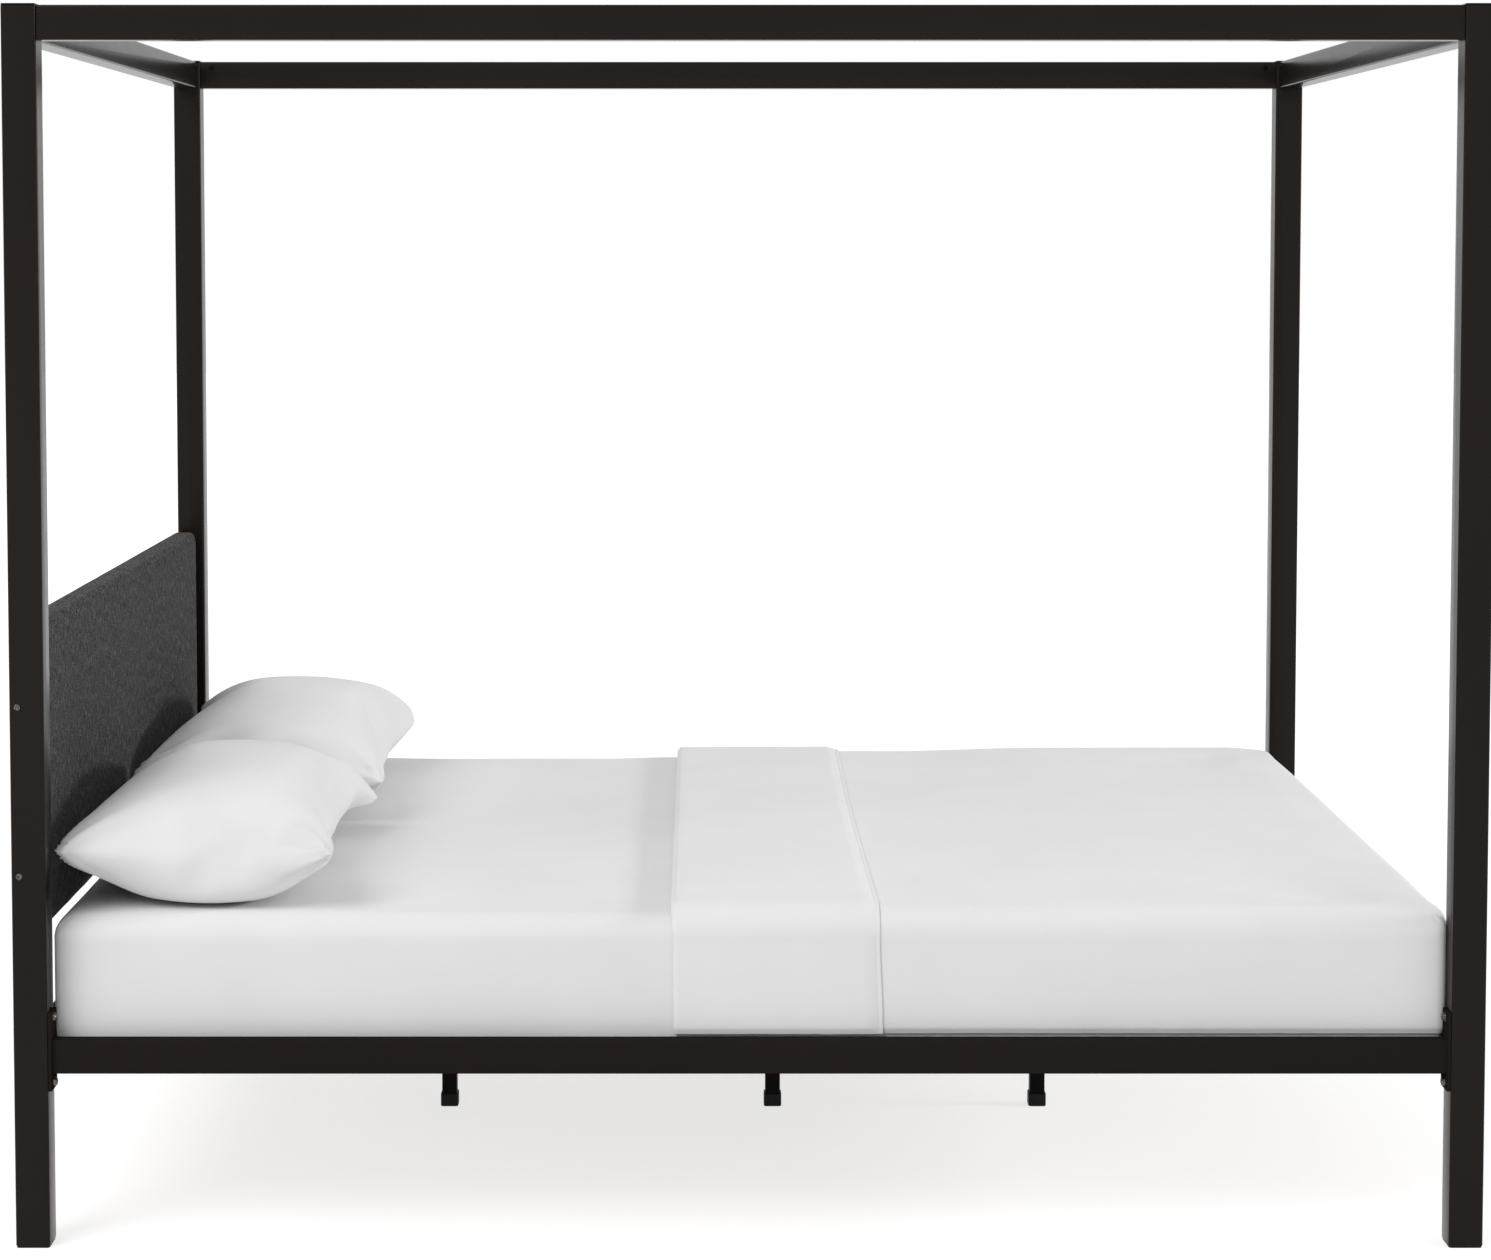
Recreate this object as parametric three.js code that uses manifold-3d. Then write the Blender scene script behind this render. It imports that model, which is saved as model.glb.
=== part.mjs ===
// Four poster canopy bed for a queen mattress. Square tube posts carry canopy rails on welded spigots
// and bed rails on bolted end plates; a centre rail on three legs and wooden slats carry the mattress,
// and an upholstered headboard is bolted between the head posts.
//
// Millimetres, +Z up. The origin is on the floor under the middle of the bed. The head is towards -X
// and the foot towards +X. Right (-Y) and left (+Y) are those of a person who lies in the bed.

import * as THREE from 'three';
import { mergeVertices } from 'three/addons/utils/BufferGeometryUtils.js';
import Module from 'manifold-3d';

// ---- Driving dimensions -------------------------------------------------------------------------

// Clearances
const seatGap = 0.3; // between two pieces that seat on each other
const jointLine = 0.5; // visible joint between a rail or the headboard and a post
const boltPlay = 0.5; // radial play of a bolt in its holes
const weldDepth = 1; // how far welded pieces run into each other
const sharpCorner = 0.5; // the smallest corner radius that a section is drawn with

// Posts
const clearLength = 2040; // between the head posts and the foot posts
const clearWidth = 1500; // between the right posts and the left posts
const overallHeight = 1805; // floor to the top of a post cap
const postSize = 50;
const postWall = 2;
const postCorner = 4;
const capThickness = 3;
const capBevel = 1;
const capPlugDepth = 14;
const glideThickness = 3;
const glideInset = 1;
const glidePlugDepth = 20;
const glidePlugWall = 3;

// Canopy rails and their spigots
const canopyHeight = 50;
const canopyWidth = 40;
const canopyWall = 2;
const canopyCorner = 3;
const canopyDrop = 2; // from the top of the caps down to the top of the rails
const spigotLength = 45;
const spigotWall = 2;
const spigotCorner = 1.5;
const canopyScrewReach = 22; // from the inner face of a post to the screw that holds the rail
const canopyScrewDrop = 11; // from the top of the rail to the screw
const canopyScrewRadius = 2.5;

// Bed rails: two side rails and two cross rails, each with an upright end plate at both ends
const railTop = 305;
const railHeight = 50;
const railThickness = 25;
const railWall = 2;
const railCorner = 2.5;
const railInset = 9; // from the outer face of the posts to the outer face of the rails
const plateThickness = 4;
const plateWidth = 45;
const plateHeight = 116;
const plateCorner = 4;
const plateRise = 8; // middle of the plate above the middle of the rail
const plateVentRadius = 5; // lets the coating run out of the closed rail

// Slat angles: an L section on the inner face of each side rail, which the slats lie on
const angleReach = 30; // of the lower leg, inwards under the slats
const angleRise = 27; // of the upright leg
const angleWall = 3;
const angleEndMargin = 25; // to the end plates of the rail
const angleScrewInset = 91; // from the ends of the angle to its outer screws
const angleScrewRadius = 2.5;
const angleScrewRise = 16; // above the underside of the angle

// Rail bolts and the weld nuts inside the posts
const boltSpacing = 95;
const boltRadius = 4;
const boltLength = 20; // under the head
const boltHeadRadius = 7;
const boltHeadHeight = 4.5;
const boltSocketRadius = 2.9;
const boltSocketDepth = 2.6;
const nutRadius = 7.5;
const nutHeight = 6.5;
const boltWeld = 0.2; // how far the bolts of a cross rail are sunk into its end plates

// Slats, centre rail and centre legs
const slatCount = 12;
const slatWidth = 70;
const slatThickness = 12;
const slatCorner = 3;
const slatDrop = 22; // from the top of the side rails down to the top of the slats
const slatEndGap = 2; // to the upright leg of the slat angle
const slatFieldMargin = 12; // from the end of the mattress to the edge of the outermost slat
const centreRailWidth = 30;
const centreRailHeight = 40;
const centreRailWall = 2;
const centreRailCorner = 2.5;
const centreRailEndGap = 1; // to the inner face of the cross rails
const saddleWall = 3;
const saddleReach = 45;
const saddleSideHeight = 34;
const legPlaces = [-497, 51, 500]; // along the centre rail, from the middle of the bed
const legSize = 25;
const legWall = 2;
const legCorner = 2;
const legPlateLength = 70;
const legPlateThickness = 3;
const legFootSize = 29.5;
const legFootEdge = 1;
const legFootCorner = 4;
const legFootHeight = 22;
const legFootBase = 5;

// Headboard
const headboardBottom = 455;
const headboardHeight = 457;
const headboardCorner = 30;
const headboardSetback = 2; // from the head side of the posts to the back of the board
const boardThickness = 20;
const boardInset = 2; // the fabric turns over the edge of the board by this much
const padThickness = 16;
const padFrontEdge = 11;
const padBackEdge = 1;
const headboardBoltHeights = [92, 339]; // above the lower edge of the headboard
const headboardBoltRadius = 3;
const headboardBoltReach = 30; // into the board
const headboardHoleSpare = 4; // of its hole, past the end of the bolt
const headboardBoltHeadRadius = 5;
const headboardBoltHeadHeight = 3;
const headboardBoltSocketRadius = 2;
const headboardBoltSocketDepth = 1.8;

// Mattress and bedding
const mattressEndGap = 10; // to the planes of the posts' inner faces
const mattressSideGap = 11; // to the inner faces of the side rails
const mattressHeight = 197;
const mattressCorner = 44;
const mattressTopEdge = 38;
const mattressBottomEdge = 12;
const duvetTop = 11; // thickness over the top of the mattress
const duvetSide = 6;
const duvetHang = 7; // lower edge of the duvet above the side rails
const duvetHeadEdge = -115; // the turned back band starts here
const bandWidth = 305;
const bandTop = 8; // how far the band stands above the rest of the duvet
const bandSide = 5;
const pillowLength = 712;
const pillowWidth = 412;
const pillowRise = 108; // seam to the crown
const pillowDrop = 92; // seam to the mattress
const pillowPull = 0.05; // share by which its sides are pulled in between the corners
const pillowFlatness = 1.3; // how soon its lower side lies flat on the mattress
const pillowHeadGap = 2; // to the plane of the head posts' inner faces
const pillowOverhang = 5; // of the right pillow over the side of the mattress
const pillowSpacing = 24; // between the two pillows

// ---- Derived places -----------------------------------------------------------------------------

const postLineX = (clearLength + postSize) / 2;
const postLineY = (clearWidth + postSize) / 2;
const postBottom = glideThickness + seatGap;
const postTop = overallHeight - capThickness - seatGap;
const canopyTop = overallHeight - canopyDrop;
const canopyMiddle = canopyTop - canopyHeight / 2;
const railMiddle = railTop - railHeight / 2;
const railOffset = postSize / 2 - railInset - railThickness / 2; // outwards from the line of the posts
const railInnerY = postLineY + railOffset - railThickness / 2;
const railInnerX = postLineX + railOffset - railThickness / 2;
const boltHeights = [-0.5, 0.5].map((side) => railMiddle + plateRise + side * boltSpacing);
const slatTop = railTop - slatDrop;
const slatBottom = slatTop - slatThickness;
const angleBottom = slatBottom - seatGap - angleWall;
const angleLength = clearLength - 2 * (plateThickness + angleEndMargin);
const angleScrewPlaces = [-1, 0, 1].map((side) => side * (angleLength / 2 - angleScrewInset));
const centreRailTop = slatBottom - seatGap;
const centreRailBottom = centreRailTop - centreRailHeight;
const mattressLength = clearLength - 2 * mattressEndGap;
const mattressWidth = 2 * (railInnerY - mattressSideGap);
const mattressBottom = slatTop + seatGap;
const mattressTop = mattressBottom + mattressHeight;
const boardBackX = -(postLineX + postSize / 2 - headboardSetback);
const boardMiddleX = boardBackX + boardThickness / 2;
const padBackX = boardBackX + boardThickness + seatGap;

// ---- Materials ----------------------------------------------------------------------------------

const material = (color, roughness, metalness = 0) =>
  new THREE.MeshStandardMaterial({ color, roughness, metalness });
const coatedSteel = material(0x2a2320, 0.42, 0.2);
const blackPlastic = material(0x141414, 0.55);
const boltSteel = material(0x1b1a1a, 0.35, 0.8);
const slatWood = material(0xc9a877, 0.65);
const boardWood = material(0x4a3b2c, 0.8);
const headboardFabric = material(0x3d3d40, 0.95);
const sheetCotton = material(0xe3e3e3, 0.9);
const duvetCotton = material(0xe6e6e6, 0.9);
const pillowCotton = material(0xe9e9e9, 0.9);

// ---- Solids -------------------------------------------------------------------------------------

const wasm = await Module();
wasm.setup();

// How finely round forms are drawn
const cornerSteps = 4; // facets of a rounded corner, an even number
const plainSteps = 2; // the same for bores, plugs and slats
const softSteps = 4; // the same for the corners and edges of a soft block
const boltSides = 12;
const holeSides = 8;
const hexSides = 6;
const pillowWidthSteps = 8;
const pillowLengthSteps = 12;

const X_AXIS = new THREE.Vector3(1, 0, 0);
const Y_AXIS = new THREE.Vector3(0, 1, 0);
const Z_AXIS = new THREE.Vector3(0, 0, 1);

function solidOf(geometry) {
  const bare = geometry.clone();
  bare.deleteAttribute('normal');
  bare.deleteAttribute('uv');
  const merged = mergeVertices(bare, 1e-4);
  return new wasm.Manifold(new wasm.Mesh({
    numProp: 3,
    vertProperties: Float32Array.from(merged.attributes.position.array),
    triVerts: Uint32Array.from(merged.index.array),
  }));
}

function geometryOf(solid) {
  const mesh = solid.getMesh();
  const geometry = new THREE.BufferGeometry();
  geometry.setAttribute('position', new THREE.BufferAttribute(mesh.vertProperties, 3));
  geometry.setIndex(new THREE.BufferAttribute(mesh.triVerts, 1));
  geometry.computeVertexNormals();
  return geometry;
}

const join = (first, ...others) => others.reduce((sum, other) => sum.add(other), first);
const cut = (first, ...others) => others.reduce((rest, other) => rest.subtract(other), first);

function roundedRectangle(width, height, corner) {
  const x = width / 2;
  const y = height / 2;
  const r = Math.min(corner, 0.49 * Math.min(width, height));
  const shape = new THREE.Shape();
  shape.moveTo(-x + r, -y);
  shape.absarc(x - r, -y + r, r, -Math.PI / 2, 0);
  shape.absarc(x - r, y - r, r, 0, Math.PI / 2);
  shape.absarc(-x + r, y - r, r, Math.PI / 2, Math.PI);
  shape.absarc(-x + r, -y + r, r, Math.PI, 1.5 * Math.PI);
  return shape;
}

// A bar of rounded rectangular section that starts at z = 0. With a bevel, its upper edge is eased.
function bar(width, height, corner, length, bevel = 0, steps = cornerSteps) {
  const inner = roundedRectangle(
    width - 2 * bevel, height - 2 * bevel, Math.max(corner - bevel, sharpCorner));
  const geometry = new THREE.ExtrudeGeometry(inner, {
    depth: length - 2 * bevel,
    curveSegments: steps / 2, // three.js makes two facets of each
    bevelEnabled: bevel > 0,
    bevelThickness: bevel,
    bevelSize: bevel,
    bevelSegments: 1,
  });
  return geometry.translate(0, 0, bevel);
}

// The same with plainer corners, for bores, plugs and slats.
function plainBar(width, height, corner, length) {
  return bar(width, height, corner, length, 0, plainSteps);
}

// The same section with a wall, open at both ends.
function tube(width, height, corner, wall, length) {
  const outer = solidOf(bar(width, height, corner, length));
  const boreCorner = Math.max(corner - wall, sharpCorner);
  const bore = plainBar(width - 2 * wall, height - 2 * wall, boreCorner, length + 2 * wall);
  return cut(outer, solidOf(bore.translate(0, 0, -wall)));
}

// Turns a section drawn in X and Y and run along Z, so that it runs along +X with its Y upright.
function alongX(solid) {
  return turned(turned(solid, X_AXIS, 90), Z_AXIS, 90);
}

function turned(solid, axis, degrees) {
  return solid.transform(new THREE.Matrix4()
    .makeRotationAxis(axis, THREE.MathUtils.degToRad(degrees)).elements);
}

function box(sizeX, sizeY, sizeZ, x, y, z) {
  return solidOf(new THREE.BoxGeometry(sizeX, sizeY, sizeZ).translate(x, y, z));
}

// A round bar along Z with its middle at z = 0.
function rod(radius, length, sides = holeSides) {
  const geometry = new THREE.CylinderGeometry(radius, radius, length, sides);
  return solidOf(geometry.rotateX(Math.PI / 2));
}

// Joins rings of points, from the lowest up, into one closed solid with flat ends.
function loft(rings) {
  const count = rings[0].length;
  const points = rings.flat();
  const triangles = [];
  for (let level = 0; level + 1 < rings.length; level += 1) {
    for (let i = 0; i < count; i += 1) {
      const a = level * count + i;
      const b = level * count + ((i + 1) % count);
      triangles.push(a, b, b + count, a, b + count, a + count);
    }
  }
  const middle = (ring) => ring.reduce((sum, p) => sum.add(p), new THREE.Vector3())
    .divideScalar(ring.length);
  const bottom = points.push(middle(rings[0])) - 1;
  const top = points.push(middle(rings.at(-1))) - 1;
  const last = (rings.length - 1) * count;
  for (let i = 0; i < count; i += 1) {
    const next = (i + 1) % count;
    triangles.push(bottom, next, i, top, last + i, last + next);
  }
  return surface(points, triangles);
}

function surface(points, triangles) {
  const geometry = new THREE.BufferGeometry().setFromPoints(points);
  geometry.setIndex(triangles);
  geometry.computeVertexNormals();
  return geometry;
}

function roundedRing(halfX, halfY, corner, z) {
  const r = Math.max(corner, 1);
  const ring = [];
  for (const [quarter, sx, sy] of [[0, 1, 1], [1, -1, 1], [2, -1, -1], [3, 1, -1]]) {
    for (let step = 0; step <= softSteps; step += 1) {
      const angle = (quarter + step / softSteps) * (Math.PI / 2);
      ring.push(new THREE.Vector3(
        sx * (halfX - r) + r * Math.cos(angle),
        sy * (halfY - r) + r * Math.sin(angle),
        z,
      ));
    }
  }
  return ring;
}

// A block with rounded upright corners, and rounded upper and lower edges, that stands on z = 0.
function softBlock(sizeX, sizeY, height, corner, topEdge, bottomEdge) {
  const rings = [];
  for (let step = 0; step <= softSteps; step += 1) {
    const angle = (step / softSteps) * (Math.PI / 2);
    const inset = bottomEdge * (1 - Math.sin(angle));
    const z = bottomEdge * (1 - Math.cos(angle));
    rings.push(roundedRing(sizeX / 2 - inset, sizeY / 2 - inset, corner - inset, z));
  }
  for (let step = 0; step <= softSteps; step += 1) {
    const angle = (step / softSteps) * (Math.PI / 2);
    const inset = topEdge * (1 - Math.cos(angle));
    const z = height - topEdge * (1 - Math.sin(angle));
    rings.push(roundedRing(sizeX / 2 - inset, sizeY / 2 - inset, corner - inset, z));
  }
  return loft(rings);
}

// A filled pillow with pointed corners, sides pulled in between them, and a lower side that is
// pressed flat. Its seam lies at z = 0.
function pillowSolid() {
  const points = [];
  const triangles = [];
  const spread = (step, steps) => Math.sin((step / steps - 0.5) * Math.PI);
  const addPoint = (i, j, side) => {
    const u = spread(i, pillowWidthSteps);
    const v = spread(j, pillowLengthSteps);
    const fill = Math.sqrt(Math.max((1 - u * u) * (1 - v * v), 0));
    const z = side > 0 ? pillowRise * fill : -pillowDrop * Math.min(pillowFlatness * fill, 1);
    return points.push(new THREE.Vector3(
      (pillowWidth / 2) * u * (1 - pillowPull * (1 - v * v)),
      (pillowLength / 2) * v * (1 - pillowPull * (1 - u * u)),
      z,
    )) - 1;
  };
  const upper = [];
  const lower = [];
  for (let i = 0; i <= pillowWidthSteps; i += 1) {
    upper.push([]);
    lower.push([]);
    for (let j = 0; j <= pillowLengthSteps; j += 1) {
      const onSeam = i === 0 || j === 0 || i === pillowWidthSteps || j === pillowLengthSteps;
      upper[i].push(addPoint(i, j, 1));
      lower[i].push(onSeam ? upper[i][j] : addPoint(i, j, -1));
    }
  }
  for (let i = 0; i < pillowWidthSteps; i += 1) {
    for (let j = 0; j < pillowLengthSteps; j += 1) {
      const [a, b, c, d] = [upper[i][j], upper[i + 1][j], upper[i + 1][j + 1], upper[i][j + 1]];
      const [e, f, g, h] = [lower[i][j], lower[i + 1][j], lower[i + 1][j + 1], lower[i][j + 1]];
      triangles.push(a, b, c, a, c, d, e, g, f, e, h, g);
    }
  }
  return surface(points, triangles);
}

// ---- Pieces -------------------------------------------------------------------------------------

const bed = new THREE.Group();

function add(name, geometry, look, place = [0, 0, 0], turnZ = 0) {
  const mesh = new THREE.Mesh(geometry, look);
  mesh.name = name;
  mesh.position.set(...place);
  mesh.rotation.z = THREE.MathUtils.degToRad(turnZ);
  bed.add(mesh);
}

// A button head bolt along Z: its head stands on z = 0 and its shank runs down from there.
function buttonBolt(headRadius, headHeight, shankRadius, shankLength, socketRadius, socketDepth) {
  const profile = [
    [0, -shankLength], [shankRadius, -shankLength], [shankRadius, 0],
    [headRadius, 0], [0.9 * headRadius, 0.6 * headHeight], [0.62 * headRadius, headHeight],
    [0, headHeight],
  ].map(([x, y]) => new THREE.Vector2(x, y));
  const body = turned(solidOf(new THREE.LatheGeometry(profile, boltSides)), X_AXIS, 90);
  const socket = rod(socketRadius, 2 * socketDepth, hexSides).translate(0, 0, headHeight);
  return cut(body, socket);
}

const railBolt = buttonBolt(
  boltHeadRadius, boltHeadHeight, boltRadius, boltLength, boltSocketRadius, boltSocketDepth);

// Cuts the hole of a canopy screw, at x = 0, through one side wall of a rail along X and through the
// spigot's wall behind it.
function canopyScrewHole(side) {
  const walls = canopyWall + seatGap + spigotWall;
  return turned(rod(canopyScrewRadius, 4 * walls), X_AXIS, 90)
    .translate(0, side * canopyWidth / 2, canopyTop - canopyScrewDrop);
}

// A post in its own frame, with the bed's inside towards inX and inY, which are 1 or -1. Each inner
// face has a spigot for a canopy rail, and two bolt holes with weld nuts behind the wall for a bed
// rail. They are made on the +X face and turned to their own, and inside is the side of the spigot
// that looks into the bed, before that turn.
function post(inX, inY, isHead) {
  let solid = tube(postSize, postSize, postCorner, postWall, postTop - postBottom)
    .translate(0, 0, postBottom);
  const faces = [
    { turn: inX > 0 ? 0 : 180, inside: inX * inY },
    { turn: inY > 0 ? 90 : 270, inside: -inX * inY },
  ];
  for (const { turn, inside } of faces) {
    const spigotWidth = canopyWidth - 2 * (canopyWall + seatGap);
    const spigotHeight = canopyHeight - 2 * (canopyWall + seatGap);
    const spigot = alongX(tube(
      spigotWidth, spigotHeight, spigotCorner, spigotWall, spigotLength + weldDepth))
      .translate(postSize / 2 - weldDepth, 0, canopyMiddle);
    const screwHole = canopyScrewHole(inside).translate(postSize / 2 + canopyScrewReach, 0, 0);
    solid = join(solid, turned(cut(spigot, screwHole), Z_AXIS, turn));
    for (const height of boltHeights) {
      const nut = turned(rod(nutRadius, nutHeight + weldDepth, hexSides), Y_AXIS, 90)
        .translate(postSize / 2 - postWall + (weldDepth - nutHeight) / 2, 0, height);
      const hole = turned(rod(boltRadius + boltPlay, 4 * nutHeight), Y_AXIS, 90)
        .translate(postSize / 2 - postWall, 0, height);
      solid = cut(join(solid, turned(nut, Z_AXIS, turn)), turned(hole, Z_AXIS, turn));
    }
  }
  if (isHead) {
    for (const height of headboardBoltHeights) {
      const hole = turned(rod(headboardBoltRadius + boltPlay, 2 * postSize), X_AXIS, 90)
        .translate(boardMiddleX + postLineX, 0, headboardBottom + height);
      solid = cut(solid, hole);
    }
  }
  return geometryOf(solid);
}

function postCap() {
  const plate = solidOf(bar(postSize, postSize, postCorner, capThickness, capBevel));
  const plugSize = postSize - 2 * (postWall + seatGap);
  const plug = plainBar(plugSize, plugSize, postCorner - postWall, capPlugDepth + weldDepth);
  return geometryOf(join(plate, solidOf(plug.translate(0, 0, -capPlugDepth))));
}

function postGlide() {
  const baseSize = postSize - 2 * glideInset;
  const plugSize = postSize - 2 * (postWall + seatGap);
  const base = solidOf(bar(baseSize, baseSize, postCorner, glideThickness));
  const plug = solidOf(
    plainBar(plugSize, plugSize, postCorner - postWall, glidePlugDepth + glideThickness));
  const hollowSize = plugSize - 2 * glidePlugWall;
  const hollow = plainBar(hollowSize, hollowSize, postCorner - postWall, glidePlugDepth + 1)
    .translate(0, 0, glideThickness);
  return geometryOf(cut(join(base, plug), solidOf(hollow)));
}

function addPosts() {
  for (const [end, sx] of [['head', -1], ['foot', 1]]) {
    for (const [side, sy] of [['right', -1], ['left', 1]]) {
      const place = (z) => [sx * postLineX, sy * postLineY, z];
      add(`post_${end}_${side}`, post(-sx, -sy, end === 'head'), coatedSteel, place(0));
      add(`post_cap_${end}_${side}`, postCap(), blackPlastic, place(overallHeight - capThickness));
      add(`post_glide_${end}_${side}`, postGlide(), blackPlastic, place(0));
    }
  }
}

// A canopy rail along X in the line of the posts, with the inside of the bed towards +Y.
function canopyRail(clear) {
  const length = clear - 2 * jointLine;
  const rail = alongX(tube(canopyWidth, canopyHeight, canopyCorner, canopyWall, length))
    .translate(-length / 2, 0, canopyMiddle);
  const holes = [-1, 1].map((end) =>
    canopyScrewHole(1).translate(end * (clear / 2 - canopyScrewReach), 0, 0));
  return geometryOf(cut(rail, ...holes));
}

function addCanopy() {
  const sideRail = canopyRail(clearLength);
  add('canopy_rail_right', sideRail, coatedSteel, [0, -postLineY, 0]);
  add('canopy_rail_left', sideRail, coatedSteel, [0, postLineY, 0], 180);
  const crossRail = canopyRail(clearWidth);
  add('canopy_rail_foot', crossRail, coatedSteel, [postLineX, 0, 0], 90);
  add('canopy_rail_head', crossRail, coatedSteel, [-postLineX, 0, 0], -90);
}

// A bed rail along X in the line of the posts, with the outside of the bed towards -Y. The tube is
// set outwards by railOffset, and an upright plate closes each end of it.
function bedRail(clear) {
  const length = clear - 2 * seatGap;
  const tubeLength = length - plateThickness;
  let solid = alongX(tube(railThickness, railHeight, railCorner, railWall, tubeLength))
    .translate(-tubeLength / 2, -railOffset, railMiddle);
  for (const side of [-1, 1]) {
    let plate = alongX(solidOf(bar(plateWidth, plateHeight, plateCorner, plateThickness)))
      .translate(-plateThickness / 2, 0, railMiddle + plateRise);
    for (const height of boltHeights) {
      const hole = rod(boltRadius + boltPlay, 3 * plateThickness);
      plate = cut(plate, turned(hole, Y_AXIS, 90).translate(0, 0, height));
    }
    const vent = turned(rod(plateVentRadius, 4 * plateThickness), Y_AXIS, 90)
      .translate(0, -railOffset, railMiddle);
    const placeX = side * (length - plateThickness) / 2;
    solid = cut(join(solid, plate.translate(placeX, 0, 0)), vent.translate(placeX, 0, 0));
  }
  return solid;
}

// The slat angle of the right side rail, in the same frame as the rail.
function slatAngle() {
  const outline = new THREE.Shape([
    [0, 0], [angleReach, 0], [angleReach, angleWall],
    [angleWall, angleWall], [angleWall, angleRise], [0, angleRise],
  ].map(([x, y]) => new THREE.Vector2(x, y)));
  const bare = new THREE.ExtrudeGeometry(outline, { depth: angleLength, bevelEnabled: false });
  return alongX(solidOf(bare))
    .translate(-angleLength / 2, railThickness / 2 - railOffset + seatGap, angleBottom);
}

// Cuts the screw holes through the upright leg of the slat angle and the rail's wall behind it.
function angleScrewHoles() {
  const length = 2 * (railWall + seatGap + angleWall);
  const y = railThickness / 2 - railOffset + (seatGap + angleWall - railWall) / 2;
  return angleScrewPlaces.map((x) => turned(rod(angleScrewRadius, length), X_AXIS, 90)
    .translate(x, y, angleBottom + angleScrewRise));
}

// The U-shaped bracket on the inner side of a cross rail that the end of the centre rail lies in.
function centreSaddle() {
  const width = centreRailWidth + 2 * (seatGap + saddleWall);
  const bottom = centreRailBottom - seatGap - saddleWall;
  const reach = saddleReach + weldDepth;
  const middleY = railThickness / 2 - railOffset + (saddleReach - weldDepth) / 2;
  const base = box(width, reach, saddleWall, 0, middleY, bottom + saddleWall / 2);
  const sides = [-1, 1].map((side) => box(saddleWall, reach, saddleSideHeight,
    side * (width - saddleWall) / 2, middleY, bottom + saddleSideHeight / 2));
  return join(base, ...sides);
}

// The bolts that hold a cross rail: they are one piece with its end plates.
function crossRailBolts() {
  const faceX = clearWidth / 2 - seatGap - plateThickness;
  const bolts = [-1, 1].flatMap((side) => boltHeights.map((height) =>
    turned(railBolt, Y_AXIS, -90 * side).translate(side * (faceX + boltWeld), 0, height)));
  const collars = [-1, 1].flatMap((side) => boltHeights.map((height) =>
    turned(rod(boltRadius + 2 * boltPlay, plateThickness), Y_AXIS, 90)
      .translate(side * (faceX + plateThickness / 2), 0, height)));
  return [...bolts, ...collars];
}

function addBedRails() {
  const sideRail = geometryOf(cut(bedRail(clearLength), ...angleScrewHoles()));
  const angle = geometryOf(cut(slatAngle(), ...angleScrewHoles()));
  for (const [side, sy] of [['right', -1], ['left', 1]]) {
    const turn = sy > 0 ? 180 : 0;
    add(`side_rail_${side}`, sideRail, coatedSteel, [0, sy * postLineY, 0], turn);
    add(`rail_angle_${side}`, angle, coatedSteel, [0, sy * postLineY, 0], turn);
  }
  const crossRail = geometryOf(join(bedRail(clearWidth), centreSaddle(), ...crossRailBolts()));
  add('cross_rail_foot', crossRail, coatedSteel, [postLineX, 0, 0], 90);
  add('cross_rail_head', crossRail, coatedSteel, [-postLineX, 0, 0], -90);
  const faceX = clearLength / 2 - 2 * seatGap - plateThickness;
  for (const [end, sx] of [['head', -1], ['foot', 1]]) {
    const bolt = geometryOf(turned(railBolt, Y_AXIS, -90 * sx));
    for (const [side, sy] of [['right', -1], ['left', 1]]) {
      for (const [level, height] of [['lower', boltHeights[0]], ['upper', boltHeights[1]]]) {
        const place = [sx * faceX, sy * postLineY, height];
        add(`rail_bolt_${end}_${side}_${level}`, bolt, boltSteel, place);
      }
    }
  }
}

function addCentreSupport() {
  const length = 2 * (railInnerX - centreRailEndGap);
  const rail = alongX(tube(
    centreRailWidth, centreRailHeight, centreRailCorner, centreRailWall, length));
  const middle = centreRailBottom + centreRailHeight / 2;
  add('centre_rail', geometryOf(rail.translate(-length / 2, 0, middle)), coatedSteel);

  const plateTop = centreRailBottom - seatGap;
  const legBottom = legFootBase + seatGap;
  const plateBottom = plateTop - legPlateThickness;
  const leg = join(
    tube(legSize, legSize, legCorner, legWall, plateBottom + weldDepth - legBottom)
      .translate(0, 0, legBottom),
    solidOf(bar(legPlateLength, centreRailWidth, legCorner, legPlateThickness)
      .translate(0, 0, plateBottom)),
  );
  const pocketSize = legSize + 2 * seatGap;
  const foot = cut(
    solidOf(bar(legFootSize, legFootSize, legFootCorner, legFootHeight, legFootEdge)),
    solidOf(plainBar(pocketSize, pocketSize, legCorner, legFootHeight).translate(0, 0, legFootBase)),
  );
  legPlaces.forEach((x, index) => {
    add(`centre_leg_${index + 1}`, geometryOf(leg), coatedSteel, [x, 0, 0]);
    add(`centre_leg_foot_${index + 1}`, geometryOf(foot), blackPlastic, [x, 0, 0]);
  });
}

function addSlats() {
  const length = 2 * (railInnerY - seatGap - angleWall - slatEndGap);
  const slat = plainBar(slatWidth, slatThickness, slatCorner, length)
    .translate(0, 0, -length / 2)
    .rotateX(Math.PI / 2);
  const first = -(mattressLength / 2 - slatFieldMargin - slatWidth / 2);
  for (let index = 0; index < slatCount; index += 1) {
    const x = first * (1 - (2 * index) / Math.max(slatCount - 1, 1));
    const name = `slat_${String(index + 1).padStart(2, '0')}`;
    add(name, slat, slatWood, [x, 0, slatBottom + slatThickness / 2]);
  }
}

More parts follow.
